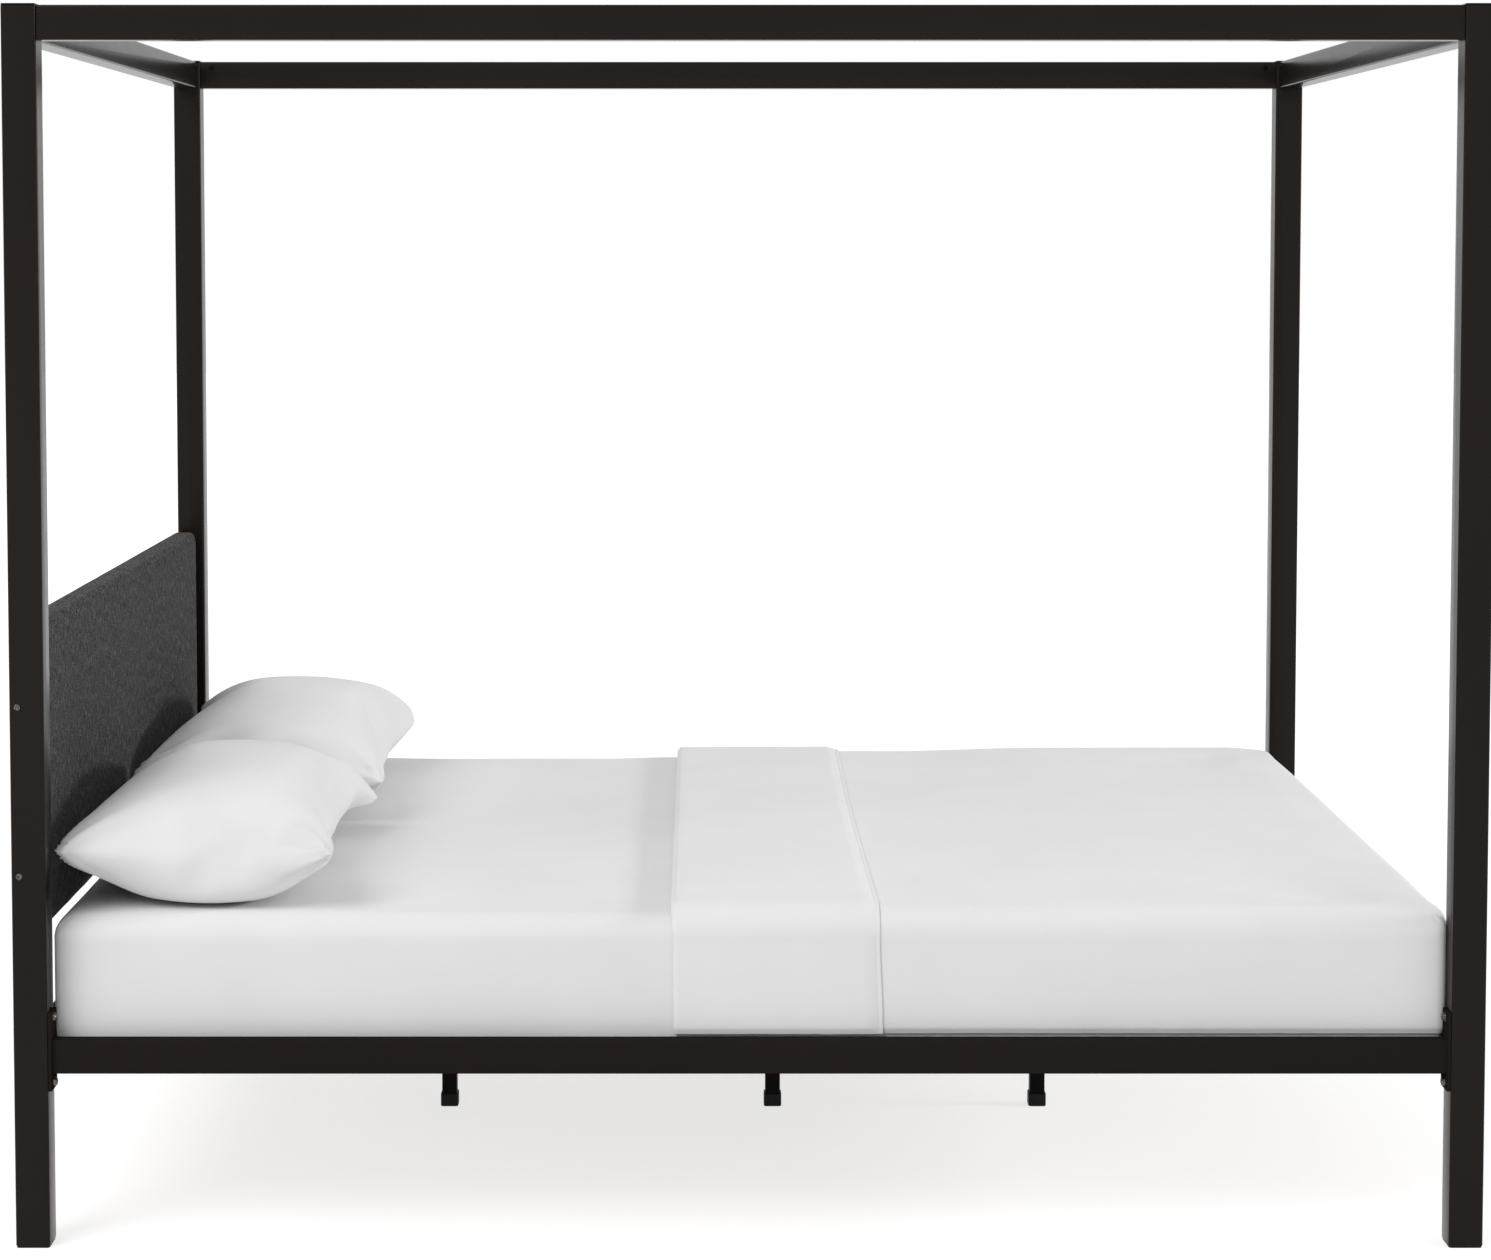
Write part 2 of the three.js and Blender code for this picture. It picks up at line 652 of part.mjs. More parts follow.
function addHeadboard() {
  const width = clearWidth - 2 * jointLine;
  const height = headboardHeight;
  const middle = headboardBottom + height / 2;
  const boardCorner = headboardCorner - boardInset;
  let board = alongX(solidOf(
    bar(width - 2 * boardInset, height - 2 * boardInset, boardCorner, boardThickness)));
  const holeDepth = headboardBoltReach + headboardHoleSpare;
  for (const boltHeight of headboardBoltHeights) {
    for (const side of [-1, 1]) {
      const hole = turned(rod(headboardBoltRadius + boltPlay, 2 * holeDepth), X_AXIS, 90);
      board = cut(board, hole.translate(
        boardThickness / 2, side * (width / 2 - boardInset), boltHeight - height / 2));
    }
  }
  add('headboard_board', geometryOf(board), boardWood, [boardBackX, 0, middle]);
  const pad = turned(solidOf(
    softBlock(height, width, padThickness, headboardCorner, padFrontEdge, padBackEdge)), Y_AXIS, 90);
  add('headboard_pad', geometryOf(pad), headboardFabric, [padBackX, 0, middle]);

  const shank = postSize + jointLine + boardInset + headboardBoltReach;
  const bolt = buttonBolt(
    headboardBoltHeadRadius, headboardBoltHeadHeight, headboardBoltRadius, shank,
    headboardBoltSocketRadius, headboardBoltSocketDepth);
  for (const [side, sy] of [['right', -1], ['left', 1]]) {
    const geometry = geometryOf(turned(bolt, X_AXIS, -90 * sy));
    headboardBoltHeights.forEach((boltHeight, index) => {
      const place = [boardMiddleX, sy * (postLineY + postSize / 2 + seatGap), headboardBottom + boltHeight];
      add(`headboard_bolt_${side}_${['lower', 'upper'][index]}`, geometry, boltSteel, place);
    });
  }
}

// A block that wraps the mattress from all sides at a distance, standing at the mattress's own place.
function mattressWrap(side, top) {
  const below = side;
  return solidOf(softBlock(
    mattressLength + 2 * side, mattressWidth + 2 * side, mattressHeight + top + below,
    mattressCorner + side, mattressTopEdge + (side + top) / 2, mattressBottomEdge + side / 2))
    .translate(0, 0, mattressBottom - below);
}

function addMattress() {
  add('mattress', softBlock(
    mattressLength, mattressWidth, mattressHeight,
    mattressCorner, mattressTopEdge, mattressBottomEdge), sheetCotton, [0, 0, mattressBottom]);
}

// The duvet covers the foot half and hangs down to the rails on three sides. Its head edge is
// folded back into a thicker band.
function addDuvet() {
  const inside = mattressWrap(seatGap, seatGap);
  const reach = mattressLength;
  const tall = 3 * mattressHeight;
  const middleZ = railTop + duvetHang + tall / 2;
  const keep = box(reach, 2 * mattressWidth, tall, duvetHeadEdge + reach / 2, 0, middleZ);
  const sheet = mattressWrap(seatGap + duvetSide, seatGap + duvetTop).intersect(keep);
  const band = mattressWrap(seatGap + duvetSide + bandSide, seatGap + duvetTop + bandTop).intersect(
    box(bandWidth, 2 * mattressWidth, tall, duvetHeadEdge + bandWidth / 2, 0, middleZ));
  add('duvet', geometryOf(cut(join(sheet, band), inside)), duvetCotton);
}

function addPillows() {
  const x = -clearLength / 2 + pillowHeadGap + pillowWidth / 2;
  const rightY = (pillowLength - mattressWidth) / 2 - pillowOverhang;
  const z = mattressTop + seatGap + pillowDrop;
  add('pillow_right', pillowSolid(), pillowCotton, [x, rightY, z]);
  add('pillow_left', pillowSolid(), pillowCotton, [x, rightY + pillowLength + pillowSpacing, z]);
}

addPosts();
addCanopy();
addBedRails();
addCentreSupport();
addSlats();
addHeadboard();
addMattress();
addDuvet();
addPillows();

export default bed;
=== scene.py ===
import math

import bmesh
import bpy
import numpy as np
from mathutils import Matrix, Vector, noise


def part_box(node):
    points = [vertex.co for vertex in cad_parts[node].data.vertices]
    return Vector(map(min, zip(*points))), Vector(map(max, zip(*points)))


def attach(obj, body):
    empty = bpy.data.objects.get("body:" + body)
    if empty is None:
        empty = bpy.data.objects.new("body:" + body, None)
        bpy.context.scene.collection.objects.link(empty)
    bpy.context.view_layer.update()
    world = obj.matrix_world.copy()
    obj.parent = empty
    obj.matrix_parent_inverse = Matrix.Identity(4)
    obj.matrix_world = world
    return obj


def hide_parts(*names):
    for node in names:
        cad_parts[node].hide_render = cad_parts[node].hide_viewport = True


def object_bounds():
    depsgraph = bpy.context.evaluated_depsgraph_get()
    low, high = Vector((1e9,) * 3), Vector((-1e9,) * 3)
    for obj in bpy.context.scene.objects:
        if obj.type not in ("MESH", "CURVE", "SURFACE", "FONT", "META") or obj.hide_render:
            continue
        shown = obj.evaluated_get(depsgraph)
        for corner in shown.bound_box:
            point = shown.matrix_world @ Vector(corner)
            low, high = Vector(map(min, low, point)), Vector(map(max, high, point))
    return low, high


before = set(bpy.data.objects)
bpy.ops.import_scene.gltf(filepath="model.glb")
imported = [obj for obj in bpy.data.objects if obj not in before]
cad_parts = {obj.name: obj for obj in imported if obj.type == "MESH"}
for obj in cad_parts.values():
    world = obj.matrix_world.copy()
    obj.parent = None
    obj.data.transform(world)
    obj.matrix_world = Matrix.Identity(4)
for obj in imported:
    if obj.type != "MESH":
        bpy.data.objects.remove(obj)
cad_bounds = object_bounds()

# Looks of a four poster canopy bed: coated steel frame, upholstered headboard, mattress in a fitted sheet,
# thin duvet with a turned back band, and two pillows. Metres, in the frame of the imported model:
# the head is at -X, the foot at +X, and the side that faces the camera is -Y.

MM = 0.001
scene = bpy.context.scene

# Camera: a long lens before the bed's near side, well above its bedding and tilted slightly down.
CAMERA_PLACE = (-0.0713, -5.5308, 1.4732)
CAMERA_PITCH = math.radians(3.5)
CAMERA_LENS = 79.66
CAMERA_SHIFT = (0.0302, -0.1288)

# Lamps: place, target, diameter and watts.
WINDOW = ((-4.5, -6.0, 6.5), (0, 0, 0.6), 5.0, 395)
FAR_WINDOW = ((12.0, -0.5, 3.9), (-0.6, 0, 0.6), 1.7, 640)
DOME_LEVEL = 0.57
FLOOR_COLOR, FLOOR_SHOWN_COLOR = 0.82, 0.46
FLOOR_HALF = 30
FLOOR_GLOW = {"From Min": 3.0, "From Max": 9.0, "To Min": 0.73, "To Max": 0.92}

# Bedding. A roll is the radius of its top edge, a corner that of its upright corners.
CLOTH_STEP = 12 * MM
FINE_STEP = 5 * MM
HEM_STEP = 1.5 * MM
SHEET_THICKNESS = 1.2 * MM
SHEET_TUCK = 55 * MM
TUCK_GATHER = 1.2 * MM
HEAD_OVERHANG = 8.5 * MM
FOOT_OVERHANG = 5.5 * MM
SIDE_ROLL = 36 * MM
HEAD_ROLL = 27 * MM
FOOT_ROLL = 14 * MM
ROLL_CHANGE = 30 * MM
ROLL_REACH = 80 * MM
CORNER = 7 * MM
CORNER_TOP = 24 * MM
CORNER_FADE = 90 * MM
LAYER_GAP = 0.6 * MM

# Unevenness of the bedding. Its swell and its dip set in and end over stretches of X, and grow over a
# stretch of Y. A hollow starts and ends at distances from the foot end and from the side.
WAVE, RIPPLE = 1.0 * MM, 0.7 * MM
SWELL, SWELL_START, SWELL_END = 7.2 * MM, (280 * MM, 580 * MM), (930 * MM, 1020 * MM)
DIP, DIP_START, DIP_END = 2.8 * MM, (-750 * MM, -550 * MM), (-260 * MM, -120 * MM)
FAR_SIDE = (-450 * MM, 250 * MM)
NEAR_HOLLOW, FAR_HOLLOW = 19 * MM, 9 * MM
HOLLOW_START, HOLLOW_END = (420 * MM, 360 * MM), (30 * MM, 45 * MM)

# Duvet. Shares are of the room that its CAD solid leaves above the mattress.
DUVET_SHARE = 0.55
BAND_SHARE = 0.43
FOLD_SHARE = 0.46
FOLD_FADE = 40 * MM
FOLD_STEPS = 12
BAND_WIDTH = 293 * MM
HEM_DROP = 5 * MM
HEM_DEPTH = 6 * MM
HEM_PULL = 1.1 * MM

# Pillows: the bag's width, length, and volume in cubic metres, and its tilt at the start.
PILLOWS = {"right": (0.450, 0.745, 0.0345, math.radians(3)), "left": (0.450, 0.740, 0.0335, math.radians(2))}
PILLOW_STEP = 12.5 * MM
PILLOW_PUFF = 50 * MM
PILLOW_DROP = 75 * MM
PILLOW_FRAMES = 45
SEAM_BELOW_MIDDLE = 25 * MM
BLUNT_RADIUS = 55 * MM
CREASE_DEPTH = 2.8 * MM

# Headboard's cloth.
COVER_STEP = 14 * MM
COVER_CORNER = 30 * MM
COVER_EDGE = 11 * MM
COVER_THICKNESS = 1.4 * MM
STAPLE_SPACING = 50 * MM

# Screws: rings of points as (share of the head's radius, rise in head heights, whether hexagonal).
SCREW_SIDES = 24
SCREW_HEIGHT = 0.55
SCREW_PROFILE = ((0.45, -0.5, False), (0.45, 0, False), (1, 0, False), (1, 0.25, False), (0.88, 0.68, False),
                 (0.66, 0.94, False), (0.5, 1, False), (0.40, 1, True), (0.38, 0.3, True))


# ---- meshes

def add_object(name, data, place=(0, 0, 0), turn=(0, 0, 0)):
    """A new object in the scene that holds a mesh, a lamp or a camera."""
    made = bpy.data.objects.new(name, data)
    scene.collection.objects.link(made)
    made.location = place
    made.rotation_euler = turn
    return made


def add_mesh(name, points, faces, smooth=True):
    """A new mesh object of these points and faces."""
    mesh = bpy.data.meshes.new(name)
    mesh.from_pydata([tuple(p) for p in points], [], faces)
    mesh.update()
    mesh.polygons.foreach_set("use_smooth", [smooth] * len(mesh.polygons))
    return add_object(name, mesh)


def evenly(start, stop, step):
    """Values from start to stop, both included, about step apart."""
    return np.linspace(start, stop, max(2, round(abs(stop - start) / step) + 1))


def spaced(*stretches):
    """Values along a line that is cut into stretches of (start, stop, step)."""
    return np.concatenate([evenly(*stretch)[:-1] for stretch in stretches] + [[stretches[-1][1]]])


def eased(value):
    """0 below 0, 1 above 1, and a smooth step between."""
    t = np.clip(value, 0, 1)
    return t * t * (3 - 2 * t)


def rising(value, start, end):
    """0 up to start, 1 from end on, and a smooth step between."""
    return eased((value - start) / (end - start))


def bell(value, middle, width):
    """1 at the middle, and less on both sides of it."""
    return np.exp(-((value - middle) / width) ** 2)


def smooth_noise(points, scale, seed):
    """Perlin noise at each point, about -1 to 1, the same on every run."""
    return np.array([noise.noise(Vector(p) * scale + Vector((seed, seed * 1.7, 0))) for p in points])


def box_of(node):
    """Lowest and highest corner of a CAD node."""
    return (np.array(corner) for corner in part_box(node))


def box_lattice(xs, ys, zs, sides):
    """Grid points on the named sides of a box, shared along its edges: integer keys and the quads between."""
    last = (len(xs) - 1, len(ys) - 1, len(zs) - 1)
    flat = {"head": (0, 0), "foot": (0, last[0]), "right": (1, 0), "left": (1, last[1]), "top": (2, last[2])}
    index, quads = {}, []
    for side in sides:
        axis, level = flat[side]
        u, v = [a for a in range(3) if a != axis]
        turned = (level == 0) != (axis == 1)
        for a in range(last[u]):
            for b in range(last[v]):
                quad = []
                for p, q in ((a, b), (a + 1, b), (a + 1, b + 1), (a, b + 1)):
                    key = [0, 0, 0]
                    key[axis], key[u], key[v] = level, p, q
                    quad.append(index.setdefault(tuple(key), len(index)))
                quads.append(quad[::-1] if turned else quad)
    keys = np.array(list(index))
    points = np.stack([np.asarray(line)[keys[:, a]] for a, line in enumerate((xs, ys, zs))], axis=1)
    return index, points, quads


def border(nx, ny):
    """Keys of a grid's outermost points, in order round it."""
    keys = [(i, 0) for i in range(nx)] + [(nx - 1, j) for j in range(1, ny)]
    return keys + [(i, ny - 1) for i in range(nx - 2, -1, -1)] + [(0, j) for j in range(ny - 2, 0, -1)]


def ring_quads(first, second, count):
    """Quads between two rings of points, given by the numbers of their first points."""
    return [[first + n, first + (n + 1) % count, second + (n + 1) % count, second + n] for n in range(count)]


def add_modifier(piece, kind, **settings):
    modifier = piece.modifiers.new(kind.title(), kind)
    for key, value in settings.items():
        setattr(modifier, key, value)


def apply_modifiers(piece):
    """The piece's mesh becomes what its modifiers show."""
    graph = bpy.context.evaluated_depsgraph_get()
    mesh = bpy.data.meshes.new_from_object(piece.evaluated_get(graph))
    piece.modifiers.clear()
    piece.data = mesh


def place(piece, body, slot, material, *replaced):
    """The piece rides on a body, takes a material and stands for the CAD nodes named."""
    piece.data.materials.clear()
    piece.data.materials.append(MATERIALS[material])
    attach(piece, body)
    if replaced:
        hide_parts(*replaced)


# ---- materials

class Tree:
    """Makes the nodes of one node tree and joins them."""

    def __init__(self, tree):
        self.nodes, self.links = tree.nodes, tree.links

    def node(self, kind, inputs=None, **settings):
        """A new node. An input is either a number or colour, or the socket that feeds it."""
        made = self.nodes.new(kind)
        for key, value in settings.items():
            setattr(made, key, value)
        for key, value in (inputs or {}).items():
            if isinstance(value, bpy.types.NodeSocket):
                self.links.new(value, made.inputs[key])
            else:
                made.inputs[key].default_value = value
        return made

    def math(self, operation, a, b):
        return self.node("ShaderNodeMath", {0: a, 1: b}, operation=operation).outputs[0]


class Shader(Tree):
    """A node material in the making. Its numbers that are the same all over sit on the shader itself."""

    def __init__(self, name, color, roughness, specular=0.5, metallic=0.0, sheen=0.0):
        self.material = bpy.data.materials.new(name)
        self.material.use_nodes = True
        super().__init__(self.material.node_tree)
        self.base = self.nodes["Principled BSDF"]
        for key, value in (("Base Color", (*color, 1)), ("Roughness", roughness),
                           ("Specular IOR Level", specular), ("Metallic", metallic),
                           ("Sheen Weight", sheen), ("Sheen Roughness", 0.5)):
            self.base.inputs[key].default_value = value
        self.place = self.node("ShaderNodeTexCoord").outputs["Object"]
        self.bump = None

    def noise(self, x, y, z, detail=2.0, rough=0.5):
        """Noise whose coordinates are scaled by a factor along each axis."""
        scaled = self.node("ShaderNodeMapping", {"Vector": self.place, "Scale": (x, y, z)})
        return self.node("ShaderNodeTexNoise", {"Vector": scaled.outputs["Vector"], "Scale": 1.0,
                                                "Detail": detail, "Roughness": rough}).outputs["Fac"]

    def threads(self, axis, pitch, distortion=0.0):
        """A sine wave along one axis, one crest for each thread."""
        return self.node("ShaderNodeTexWave", {"Vector": self.place, "Scale": math.pi / 10 / pitch,
                                               "Distortion": distortion, "Detail": 1.0},
                         bands_direction=axis).outputs["Fac"]

    def ramp(self, value, *stops):
        """A colour ramp through (position, colour) stops."""
        made = self.node("ShaderNodeValToRGB", {"Fac": value})
        elements = made.color_ramp.elements
        while len(elements) < len(stops):
            elements.new(0.5)
        for element, (position, color) in zip(elements, stops):
            element.position = position
            element.color = (*color, 1)
        return made.outputs["Color"]

    def mix(self, share, tone, color):
        """A tone that gives way to a colour by a share."""
        return self.node("ShaderNodeMix", {0: share, 6: tone, 7: (*color, 1)}, data_type="RGBA").outputs[2]

    def color(self, socket):
        self.links.new(socket, self.base.inputs["Base Color"])

    def roughness(self, value, low, high):
        spread = self.node("ShaderNodeMapRange", {"Value": value, "To Min": low, "To Max": high})
        self.links.new(spread.outputs["Result"], self.base.inputs["Roughness"])

    def raised(self, height, distance, strength=1.0):
        """Adds a bump on top of those before it."""
        inputs = {"Height": height, "Distance": distance, "Strength": strength}
        if self.bump:
            inputs["Normal"] = self.bump
        self.bump = self.node("ShaderNodeBump", inputs).outputs["Normal"]
        self.links.new(self.bump, self.base.inputs["Normal"])


def grey(level):
    return (level, level, level)


def powder_coat(name, color, roughness, specular, cloud, dark, light, detail=2.0, span=None):
    """Coated steel: faint cloudiness between two tones, fine orange peel, and a span of roughness."""
    look = Shader(name, color, roughness, specular)
    look.color(look.ramp(look.noise(*cloud, detail=detail), (0.3, dark), (0.7, light)))
    look.raised(look.noise(900, 900, 900), 0.05 * MM, 0.35)
    if span:
        look.roughness(look.noise(60, 60, 60, detail=3), *span)
    return look.material


def coated_steel():
    """Espresso brown powder coat with a little gloss."""
    return powder_coat("coated_steel", (0.0088, 0.0062, 0.0047), 0.24, 0.12, (3, 3, 1.3),
                       (0.0076, 0.0052, 0.0038), (0.0104, 0.0075, 0.0057), detail=3, span=(0.20, 0.28))


def matt_steel_painted_reflection():
    """The posts' powder coat on the rails, without gloss, its base colour about twice as light as theirs:
    painted reflection in place of the gloss it lacks.
    """
    # Painted reflection: the lighter base colour makes up for the white surround that the glossy coat would
    # reflect.
    return powder_coat("matt_steel_painted_reflection", (0.0170, 0.0135, 0.0117), 0.7, 0.0, (1.3, 3, 3),
                       (0.0158, 0.0125, 0.0108), (0.0196, 0.0158, 0.0138), detail=3, span=(0.65, 0.8))


def black_steel():
    """Black powder coat of the centre support."""
    return powder_coat("black_steel", (0.0035, 0.0033, 0.0032), 0.45, 0.06, (9, 9, 9),
                       (0.003, 0.0028, 0.0027), (0.0045, 0.0042, 0.004))


def black_plastic():
    """Moulded plastic of the glides and feet, slightly grained."""
    look = Shader("black_plastic", grey(0.006), 0.5, specular=0.15)
    look.color(look.ramp(look.noise(25, 25, 25), (0.3, grey(0.006)), (0.7, grey(0.011))))
    look.raised(look.noise(1800, 1800, 1800), 0.06 * MM, 0.5)
    return look.material


def bolt_steel():
    """Blackened steel with bright wear in patches."""
    look = Shader("bolt_steel", (0.03, 0.028, 0.026), 0.4, metallic=0.85)
    wear = look.noise(500, 500, 500, detail=3)
    look.color(look.ramp(wear, (0.42, (0.045, 0.042, 0.040)), (0.70, (0.30, 0.29, 0.28))))
    look.roughness(wear, 0.3, 0.5)
    look.raised(look.noise(2500, 2500, 2500), 0.03 * MM, 0.4)
    return look.material


def slat_wood():
    """Pale poplar, its grain along the slats."""
    look = Shader("slat_wood", (0.50, 0.36, 0.22), 0.62, specular=0.3)
    grain = look.noise(60, 2.2, 60, detail=5, rough=0.6)
    pores = look.noise(700, 14, 700)
    tone = look.ramp(grain, (0.3, (0.60, 0.45, 0.29)), (0.5, (0.52, 0.37, 0.22)), (0.72, (0.40, 0.27, 0.15)))
    look.color(look.mix(look.math("MULTIPLY", pores, 0.35), tone, (0.30, 0.20, 0.11)))
    look.roughness(grain, 0.55, 0.72)
    look.raised(pores, 0.12 * MM, 0.5)
    return look.material


def ply_board():
    """Plain plywood with its veneers showing at the edges."""
    look = Shader("board_wood", (0.42, 0.31, 0.2), 0.7, specular=0.25)
    grain = look.noise(8, 45, 2, detail=5, rough=0.6)
    veneers = look.threads("X", 3.5 * MM)
    tone = look.ramp(grain, (0.3, (0.52, 0.39, 0.26)), (0.7, (0.36, 0.25, 0.15)))
    look.color(look.mix(look.math("MULTIPLY", veneers, 0.4), tone, (0.28, 0.19, 0.11)))
    look.raised(grain, 0.2 * MM, 0.4)
    return look.material


def white_cotton(name, level, thread, crease):
    """Plain woven cotton: threads along the axes and slight, broad unevenness."""
    look = Shader(name, grey(level), 0.82, specular=0.22, sheen=0.12)
    shade = look.noise(5, 5, 5, detail=3)
    look.color(look.ramp(shade, (0.35, grey(0.972 * level)), (0.65, grey(level))))
    weave = look.math("ADD", look.threads("X", thread, 0.6), look.threads("Y", thread, 0.6))
    weave = look.math("ADD", weave, look.threads("Z", thread, 0.6))
    look.raised(look.noise(16, 16, 16, detail=4, rough=0.55), crease, 0.5)
    look.raised(weave, 0.05 * MM, 0.25)
    look.roughness(shade, 0.78, 0.88)
    return look.material


def heather_fabric():
    """Charcoal upholstery cloth: dark and pale yarns mixed, with upright slubs."""
    look = Shader("headboard_fabric", (0.045, 0.045, 0.048), 0.95, specular=0.04, sheen=0.05)
    slub = look.noise(560, 560, 60, detail=3, rough=0.6)
    weft = look.noise(400, 70, 560, detail=3, rough=0.6)
    cloud = look.noise(30, 30, 9, detail=3)
    yarn = look.math("ADD", look.math("MULTIPLY", slub, 0.68), look.math("MULTIPLY", weft, 0.32))
    tone = look.ramp(yarn, (0.41, (0.0075, 0.0075, 0.0078)), (0.5, (0.037, 0.037, 0.0383)),
                     (0.59, (0.141, 0.141, 0.1455)))
    look.color(look.mix(look.math("MULTIPLY", cloud, 0.3), tone, (0.033, 0.033, 0.034)))
    weave = look.math("MULTIPLY", look.threads("Y", 1.1 * MM, 1.5), look.threads("Z", 1.1 * MM, 1.5))
    look.raised(slub, 0.5 * MM, 0.6)
    look.raised(weave, 0.35 * MM, 0.55)
    return look.material


def black_felt():
    """Thin black non-woven cloth, pressed in dots."""
    look = Shader("dust_cover_cloth", grey(0.012), 0.95, specular=0.1, sheen=0.2)
    dots = look.node("ShaderNodeTexVoronoi", {"Vector": look.place, "Scale": 420.0}).outputs["Distance"]
    look.color(look.ramp(look.noise(900, 900, 900), (0.35, grey(0.009)), (0.7, grey(0.02))))
    look.raised(dots, 0.25 * MM, 0.5)
    return look.material


def ticking():
    """Mattress ticking: off-white with narrow grey-beige stripes."""
    look = Shader("mattress_ticking", (0.72, 0.70, 0.66), 0.9, specular=0.2, sheen=0.1)
    stripes = look.threads("Y", 24 * MM)
    look.color(look.ramp(stripes, (0.80, (0.74, 0.72, 0.68)), (0.93, (0.50, 0.48, 0.44))))
    look.raised(look.noise(1200, 1200, 1200), 0.15 * MM, 0.5)
    return look.material


MATERIALS = {
    "coated_steel": coated_steel(), "matt_steel_painted_reflection": matt_steel_painted_reflection(), "black_steel": black_steel(),
    "black_plastic": black_plastic(), "bolt_steel": bolt_steel(), "slat_wood": slat_wood(),
    "board_wood": ply_board(), "headboard_fabric": heather_fabric(), "dust_cover_cloth": black_felt(),
    "mattress_ticking": ticking(),
    "sheet_cotton": white_cotton("sheet_cotton", 0.80, 0.45 * MM, 1.6 * MM),
    "duvet_cotton": white_cotton("duvet_cotton", 0.81, 0.5 * MM, 1.4 * MM),
    "pillow_cotton": white_cotton("pillow_cotton", 0.79, 0.45 * MM, 1.2 * MM),
}


# ---- the rigid frame

# Finishes of the rigid CAD nodes, by how their names start. The first match counts.
FINISHES = {"black_plastic": ("post_glide", "centre_leg_foot"), "black_steel": ("centre_leg",),
            "coated_steel": ("post", "canopy", "rail_angle", "centre"),
            "matt_steel_painted_reflection": ("side_rail", "cross_rail"), "bolt_steel": ("rail_bolt", "headboard_bolt"),
            "slat_wood": ("slat",), "board_wood": ("headboard_board",)}
SMOOTH_UNDER = math.radians(30)


def smoothed_facets():
    """Geometry nodes that shade facets smooth where they meet at a small angle."""
    group = bpy.data.node_groups.new("smooth_facets", "GeometryNodeTree")
    group.is_modifier = True
    for way in ("INPUT", "OUTPUT"):
        group.interface.new_socket("Geometry", in_out=way, socket_type="NodeSocketGeometry")
    tree = Tree(group)
    start = tree.node("NodeGroupInput").outputs[0]
    merged = tree.node("GeometryNodeMergeByDistance", {"Geometry": start, "Distance": 0.01 * MM})
    faces = tree.node("GeometryNodeSetShadeSmooth", {"Geometry": merged.outputs["Geometry"]})
    angle = tree.node("GeometryNodeInputMeshEdgeAngle").outputs["Unsigned Angle"]
    small = tree.node("FunctionNodeCompare", {0: angle, 1: SMOOTH_UNDER}, operation="LESS_THAN").outputs[0]
    edges = tree.node("GeometryNodeSetShadeSmooth",
                      {"Geometry": faces.outputs["Geometry"], "Shade Smooth": small}, domain="EDGE")
    tree.node("NodeGroupOutput", {0: edges.outputs["Geometry"]})
    return group


def finish_frame():
    """Gives every rigid CAD node its material and smooth shading."""
    for name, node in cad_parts.items():
        finish = next((material for material, starts in FINISHES.items() if name.startswith(starts)), None)
        if finish:
            node.data.materials.clear()
            node.data.materials.append(MATERIALS[finish])
            node.modifiers.new("Smooth", "NODES").node_group = SMOOTH_FACETS


SMOOTH_FACETS = smoothed_facets()


# ---- mattress and sheet

mattress_low, mattress_high = box_of("mattress")
mattress_low[0] -= HEAD_OVERHANG
mattress_high[0] += FOOT_OVERHANG
duvet_low, duvet_high = box_of("duvet")


def bedding_lines(low, high):
    """Where the lattice of a layer of bedding has its points, closer together at hems and round edges."""
    xs, ys = (spaced((low[a], low[a] + ROLL_REACH, FINE_STEP),
                     (low[a] + ROLL_REACH, high[a] - ROLL_REACH, CLOTH_STEP),
                     (high[a] - ROLL_REACH, high[a], FINE_STEP)) for a in (0, 1))
    hem_top, roll_start = low[2] + 2 * HEM_DEPTH, high[2] - ROLL_REACH
    zs = spaced((low[2], hem_top, HEM_STEP), (hem_top, roll_start, CLOTH_STEP),
                (roll_start, high[2], FINE_STEP))
    return xs, ys, zs


def roll_at(points, low, high, open_head):
    """Radius of the top's edge at each point: that of the sides, which eases to that of an end near it."""
    to_side = np.minimum(points[:, 1] - low[1], high[1] - points[:, 1])
    near_foot = rising(to_side - (high[0] - points[:, 0]), -ROLL_CHANGE, ROLL_CHANGE)
    near_head = rising(to_side - (points[:, 0] - low[0]), -ROLL_CHANGE, ROLL_CHANGE) * (not open_head)
    return SIDE_ROLL + (HEAD_ROLL - SIDE_ROLL) * near_head + (FOOT_ROLL - SIDE_ROLL) * near_foot


